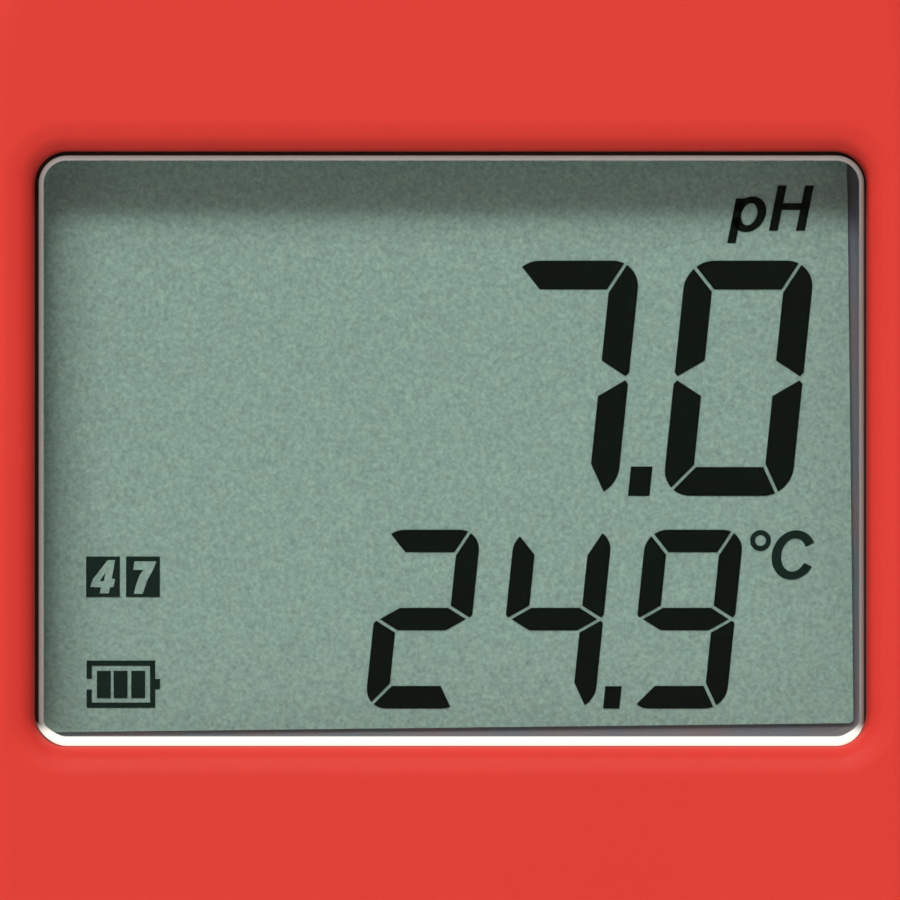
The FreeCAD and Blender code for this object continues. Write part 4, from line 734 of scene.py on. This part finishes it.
# the unit letters: a capital H of one outline, and a p of a stem and a bowl between two ellipses
def unitLetters(look):
    stem, tall, low, high = (look[key] for key in ("stem", "tall", "barLow", "barHigh"))
    left, right = look["hLeft"], look["hLeft"] + look["hWidth"]
    inLeft, inRight = left + stem, right - stem
    letterH = np.array(
        [(left, 0), (inLeft, 0), (inLeft, low), (inRight, low), (inRight, 0), (right, 0)]
        + [(right, tall), (inRight, tall), (inRight, high), (inLeft, high), (inLeft, tall), (left, tall)]
    )
    stemP = block(look["pLeft"], look["pLow"], look["pStem"], look["pHigh"] - look["pLow"])
    end = look["bowlEnd"]
    sides = [arc(look["bowlX"], look["bowlZ"], *look[key], -end, end) for key in ("bowlInner", "bowlOuter")]
    inner, outer, *flats = [
        onWindow(lean(shape, look["slope"]) + (0, look["foot"])) for shape in (*sides, letterH, stemP)
    ]
    return joinMeshes([slabMesh(flats, printNear, printFar), stripMesh(inner, outer, printNear, printFar)])


addPiece("unitLetters", unitLetters(lettersLook), inkBlack, "housing")


# the sign for degrees Celsius: a ring, and a C between two arcs of ellipses
def degreeLetters(look):
    radius = look["degreeRadius"]
    ring = arc(look["degreeX"], look["degreeZ"], radius, radius, 0, 360, 41)[:-1]
    sides = [arc(look["cX"], look["cZ"], *look[key], *look["cEnds"]) for key in ("cInner", "cOuter")]
    inner, outer = [onWindow(lean(side, look["cSlope"], look["cZ"])) for side in sides]
    degree = bandMesh(onWindow(ring), look["degreeStroke"] * mm, printNear, printFar, closed=True)
    return joinMeshes([degree, stripMesh(inner, outer, printNear, printFar)])


addPiece("degreeLetters", degreeLetters(lettersLook), inkPale, "housing")

signsLook = {
    "tileLeft": (-14.57, -12.975),  # the two tiles of the calibration points
    "tileLow": -5.916,
    "tileWidth": 1.345,
    "tileHeight": 1.615,
    "cellLeft": -14.55,
    "cellLow": -10.33,
    "cellWidth": 2.735,
    "cellHeight": 1.88,
    "cellWall": 0.205,
    "cellGap": 0.43,  # in the left wall
    "nubWidth": 0.19,
    "nubHeight": 0.41,
    "bars": (-14.14, -13.475, -12.77),
    "barWidth": 0.555,
    "barLow": -9.945,
    "barHeight": 1.085,
}


# two tiles, and a battery of a frame with a gap, a nub and three bars
def signShapes(look):
    tiles = [block(left, look["tileLow"], look["tileWidth"], look["tileHeight"]) for left in look["tileLeft"]]
    left, low, wall = look["cellLeft"], look["cellLow"], look["cellWall"]
    wide, tall = look["cellWidth"], look["cellHeight"]
    side = (tall - look["cellGap"]) / 2
    nubLow = low + (tall - look["nubHeight"]) / 2
    frameBars = [
        block(left, low, wide, wall),
        block(left, low + tall - wall, wide, wall),
        block(left + wide - wall, low + wall, wall, tall - 2 * wall),
        block(left, low + wall, wall, side - wall),
        block(left, low + tall - side, wall, side - wall),
        block(left + wide, nubLow, look["nubWidth"], look["nubHeight"]),
    ]
    bars = [block(x, look["barLow"], look["barWidth"], look["barHeight"]) for x in look["bars"]]
    return slabMesh([onWindow(shape) for shape in tiles + frameBars + bars], printNear, printFar)


addPiece("calibrationTilesAndBattery", signShapes(signsLook), inkPale, "housing")

# corners in widths and heights of a tile, anticlockwise; the 4 is split through its hole into two halves
tileFour = [
    [(0.64, 0.91), (0.20, 0.44), (0.13, 0.25), (0.44, 0.24), (0.41, 0.09), (0.54, 0.09), (0.53, 0.39)]
    + [(0.40, 0.39), (0.58, 0.61), (0.74, 0.91)],
    [(0.74, 0.91), (0.58, 0.61), (0.53, 0.39), (0.54, 0.09), (0.67, 0.09), (0.71, 0.24), (0.81, 0.25)]
    + [(0.86, 0.44), (0.76, 0.46), (0.86, 0.91)],
]
tileSeven = [
    [(0.25, 0.88), (0.21, 0.67), (0.52, 0.67), (0.41, 0.55), (0.30, 0.31), (0.23, 0.08), (0.49, 0.08)]
    + [(0.63, 0.42), (0.81, 0.69), (0.90, 0.88)],
]


# figures 4 and 7 in the field's own tone, just proud of their tiles
def tileFigures(look):
    shapes = []
    for left, figure in zip(look["tileLeft"], (tileFour, tileSeven)):
        for half in figure:
            corners = np.array(half) * (look["tileWidth"], look["tileHeight"]) + (left, look["tileLow"])
            shapes.append(anticlockwise(onWindow(corners)))
    return slabMesh(shapes, printNear - printLook["figure"], printNear - printLook["figureLift"])


addPiece("tileFigures", tileFigures(signsLook), fieldFinish, "housing")
print("meter: readout done")

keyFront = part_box("button_key")[0][1]
keyMarkLook = {
    "dish": 0.45 * mm,
    "radius": 1.55 * mm,
    "stroke": 0.42 * mm,
    "thick": 0.03 * mm,  # each way from the dish's floor
    "ends": (125, 415),  # degrees, leaving the ring open at the top
    "barLow": 0.15,  # the bar's foot and length, in radii of the ring
    "barLength": 1.15,
    "colour": linear(214, 214, 210),
}


# the button's mark: a ring that is open at the top, and an upright bar
def keyMark(look):
    x, z = middleOf("button_key")
    floor = keyFront + look["dish"]
    near, far = floor - look["thick"], floor + look["thick"]
    radius, stroke = look["radius"], look["stroke"]
    ring = arc(x, z, radius, radius, *look["ends"], 48)
    bar = block(x - stroke / 2, z + radius * look["barLow"], stroke, radius * look["barLength"])
    return joinMeshes([bandMesh(ring, stroke, near, far), slabMesh([bar], near, far)])


whitePrint = inkFinish("whitePrint", keyMarkLook["colour"])
addPiece("buttonMark", keyMark(keyMarkLook), whitePrint, "button")

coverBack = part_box("battery_cover")[1][1]
coverMarkLook = {
    "radius": 10.9 * mm,
    "stroke": 0.5 * mm,
    "thick": 0.02 * mm,  # each way from the cover's face
    "head": 1.5 * mm,
    "ends": (112, 68),  # degrees
}


# an arc with an arrow head: the way to turn the cover to lock it
def coverMark(look):
    x, z = middleOf("battery_cover")
    near, far = coverBack - look["thick"], coverBack + look["thick"]
    curve = arc(x, z, look["radius"], look["radius"], *look["ends"], 24)
    tip, before = curve[0], curve[1]
    way = (tip - before) / np.linalg.norm(tip - before)
    across = np.array([-way[1], way[0]])
    way, across = way * look["head"], across * look["head"] / 2
    head = anticlockwise(np.array([tip + way, tip + across, tip - across]))
    return joinMeshes([bandMesh(curve, look["stroke"], near, far), slabMesh([head], near, far)])


addPiece("coverMark", coverMark(coverMarkLook), whitePrint, "cover")

labelLow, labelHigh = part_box("rear_label")
labelLook = {
    "inset": 1.3 * mm,
    "line": 0.18 * mm,
    "proud": 0.02 * mm,
    "sunk": 0.01 * mm,
    "rows": 7,
    "margin": 1.2 * mm,
    "rowHeight": 0.54 * mm,
    "shortest": 0.45,  # row lengths run from this share of the width to longest
    "longest": 0.85,
    "turn": 2.1,  # radians from one row to the next
    "ink": linear(64, 64, 66),
}


# a frame of four lines round plain rows, whose lengths follow shortest + (longest - shortest) |sin|
def labelPrint(look):
    near, far = labelHigh[1] - look["sunk"], labelHigh[1] + look["proud"]
    x0, x1 = labelLow[0] + look["inset"], labelHigh[0] - look["inset"]
    z0, z1 = labelLow[2] + look["inset"], labelHigh[2] - look["inset"]
    line = look["line"]
    frameLines = [block(x0, z, x1 - x0, line) for z in (z0, z1 - line)]
    frameLines += [block(x, z0 + line, line, z1 - z0 - 2 * line) for x in (x0, x1 - line)]
    pitch = (z1 - z0) / (look["rows"] + 1)
    wave = np.abs(np.sin(np.arange(look["rows"]) * look["turn"]))
    lengths = look["shortest"] + (look["longest"] - look["shortest"]) * wave
    start = x1 - look["margin"]  # rows start at the reader's left, and the label faces back
    rows = []
    for row, length in enumerate(lengths):
        span = (start - x0 - look["margin"]) * length
        rows.append(block(start - span, z1 - pitch * (row + 1), span, look["rowHeight"]))
    return slabMesh(frameLines + rows, near, far)


labelInk = inkFinish("labelInk", labelLook["ink"])
addPiece("labelPrint", labelPrint(labelLook), labelInk, "housing")
print("meter: marks done")


boardLook = {"scale": 900.0, "loose": 0.6, "track": linear(28, 84, 48), "mask": linear(20, 60, 36)}


# coated laminate: tracks show a little lighter, from the distance to the middle of square-cornered cells
def laminateBoard(look):
    board = Finish("boardLaminate", {"Roughness": 0.35})
    inputs = {"Vector": board.place, "Scale": look["scale"], "Randomness": look["loose"]}
    cells = board.add("ShaderNodeTexVoronoi", {"distance": "MANHATTAN", "feature": "F1"}, inputs).out(0)
    tracks = board.band(cells, 0.28, 0.34)
    board.varies("Base Color", board.mix(tracks, look["track"], look["mask"]))
    return board


paperLook = {"fibre": 0.5 * mm, "low": linear(196, 196, 194), "high": linear(208, 208, 206)}


def paperLabel(look):  # from one grey to the other by a fibre noise
    paper = Finish("labelStock", {"Roughness": 0.35})
    paper.varies("Base Color", paper.mix(paper.noise(look["fibre"], 4), look["low"], look["high"]))
    return paper


foamLook = {
    "scale": 1400.0,
    "hollow": linear(150, 118, 52),
    "wall": linear(226, 196, 120),
    "relief": 0.8,
    "depth": 0.3 * mm,
}


# open foam: cells from a Voronoi distance, dark in their hollows
def openFoam(look):
    foam = Finish("spongeFoam", {"Roughness": 0.95, "Specular IOR Level": 0.1})
    inputs = {"Vector": foam.place, "Scale": look["scale"]}
    depth = foam.band(foam.add("ShaderNodeTexVoronoi", {}, inputs).out(0), 0.1, 0.55)
    foam.varies("Base Color", foam.mix(depth, look["hollow"], look["wall"]))
    foam.relief(depth, look["relief"], look["depth"])
    return foam


stripLook = {"pitch": 0.1 * mm, "carbon": linear(60, 60, 62), "silicone": linear(190, 190, 192)}


# conducting and insulating layers in turn along the strip: the sign of a sine
def layeredStrip(look):
    strip = Finish("contactStrip", {"Roughness": 0.7})
    turn = strip.axis("X") * (2 * math.pi / look["pitch"])
    layers = strip.band(turn.maths("SINE", turn, None), -0.2, 0.2)
    strip.varies("Base Color", strip.mix(layers, look["carbon"], look["silicone"]))
    return strip


ceramicBase = {"low": 0.8, "high": 1.1, "relief": 0.4, "depth": 0.05 * mm}


# fired bodies: a fine noise both darkens the pores and sinks them
def firedCeramic(name, colour, grain):
    ceramic = Finish(name, {"Roughness": 0.75})
    pores = ceramic.noise(grain, 4, 0.7)
    low, high = (shade(colour, ceramicBase[key]) for key in ("low", "high"))
    ceramic.varies("Base Color", ceramic.mix(pores, low, high))
    ceramic.relief(pores, ceramicBase["relief"], ceramicBase["depth"])
    return ceramic


paint("main_board probe_board", laminateBoard(boardLook))
paint("rear_label", paperLabel(paperLook))
paint("cap_sponge", openFoam(foamLook))
paint("zebra_strip", layeredStrip(stripLook))
paint("reference_junction", firedCeramic("junctionCeramic", linear(232, 230, 222), 0.1 * mm))
paint(numbered("resistor", 6), firedCeramic("resistorBody", linear(34, 34, 36), 0.2 * mm))
paint(numbered("capacitor", 4), firedCeramic("capacitorBody", linear(176, 140, 104), 0.2 * mm))
paint("thermistor_bead", firedCeramic("beadResin", linear(96, 44, 26), 0.4 * mm))
print("meter: inner finishes done")

floorLook = {"size": 1.2, "colour": linear(236, 236, 234), "cloud": 0.1, "shaded": 0.985}


def paleFloor(look):  # one square under the meter
    side = look["size"]
    points = np.array([(-side, -side, 0), (side, -side, 0), (side, side, 0), (-side, side, 0)])
    mesh = bpy.data.meshes.new("floor")
    mesh.from_pydata(points.tolist(), [], [(0, 1, 2, 3)])
    finish = Finish("paleFloor", {"Roughness": 0.8, "Specular IOR Level": 0.2})
    cloud, colour = finish.noise(look["cloud"], 2), look["colour"]
    finish.varies("Base Color", finish.mix(cloud, shade(colour, look["shaded"]), colour))
    mesh.materials.append(finish.material)
    floor = bpy.data.objects.new("floor", mesh)
    bpy.context.collection.objects.link(floor)


paleFloor(floorLook)

lightLook = {
    "lamps": {  # degrees above the line of sight, degrees to the left, width in degrees, strength
        "keyLight": (37.8, 5.7, 16, 1.72),
        "sideLight": (41.5, 27.9, 20, 1.37),
    },
    "colour": (1.0, 0.99, 0.96),
    "fillFront": 0.23,
    "fillBack": 0.80,
    "fillTint": (1.0, 0.78, 0.78, 1),
    "white": (1, 1, 1, 1),
    "darkSide": 0.15,  # what is left of the fill straight in front, so that the flat lens reflects little
    "backdrop": 0.75,
}


# a distant lamp, turned up by height and to the left, in degrees
def softLamp(name, height, left, width, strength):
    lamp = bpy.data.lights.new(name, "SUN")
    lamp.energy, lamp.angle, lamp.color = strength, math.radians(width), lightLook["colour"]
    source = bpy.data.objects.new(name, lamp)
    source.rotation_euler = (math.radians(90 - height), 0, math.radians(-left))
    bpy.context.collection.objects.link(source)


# two soft lamps, and a fill that grows from the front to the back; the backdrop itself is plain
def studioLight(look):
    for name, lamp in look["lamps"].items():
        softLamp(name, *lamp)
    world = bpy.data.worlds.new("studio")
    bpy.context.scene.world = world
    world.use_nodes = True
    sky = NodeTree(world.node_tree)
    towards = sky.add("ShaderNodeTexCoord").out("Generated")
    depth = sky.add("ShaderNodeSeparateXYZ", {}, {0: towards}).out("Y")
    behind = sky.band(depth, -0.1, 0.5)
    patch = sky.band(depth, -0.97, -0.90, look["darkSide"], 1.0, eased=True)
    fill = (look["fillFront"] + behind * (look["fillBack"] - look["fillFront"])) * patch
    seen = sky.add("ShaderNodeLightPath").out("Is Camera Ray")
    background = world.node_tree.nodes["Background"]
    sky.feed(background.inputs["Strength"], fill * (1 - seen) + seen * look["backdrop"])
    sky.feed(background.inputs["Color"], sky.mix(behind.atLeast(seen), look["fillTint"], look["white"]))


studioLight(lightLook)
print("meter: floor and light done")

cameraLook = {
    "distance": 0.32,  # from the face
    "across": 35.55 * mm,  # width of the face that fills the picture
    "lift": -0.055 * mm,
    "slide": -0.06 * mm,
}


# square to the face; the focal length is the sensor's width times distance over the width shown
def studioCamera(look):
    data = bpy.data.cameras.new("camera")
    data.sensor_width = 36
    data.lens = data.sensor_width * look["distance"] / look["across"]
    camera = bpy.data.objects.new("camera", data)
    camera.location = (windowX + look["slide"], faceY - look["distance"], windowZ + look["lift"])
    camera.rotation_euler = (math.radians(90), 0, 0)
    bpy.context.collection.objects.link(camera)
    scene = bpy.context.scene
    scene.camera = camera
    scene.view_settings.view_transform = "Standard"


studioCamera(cameraLook)
print("meter: camera done")
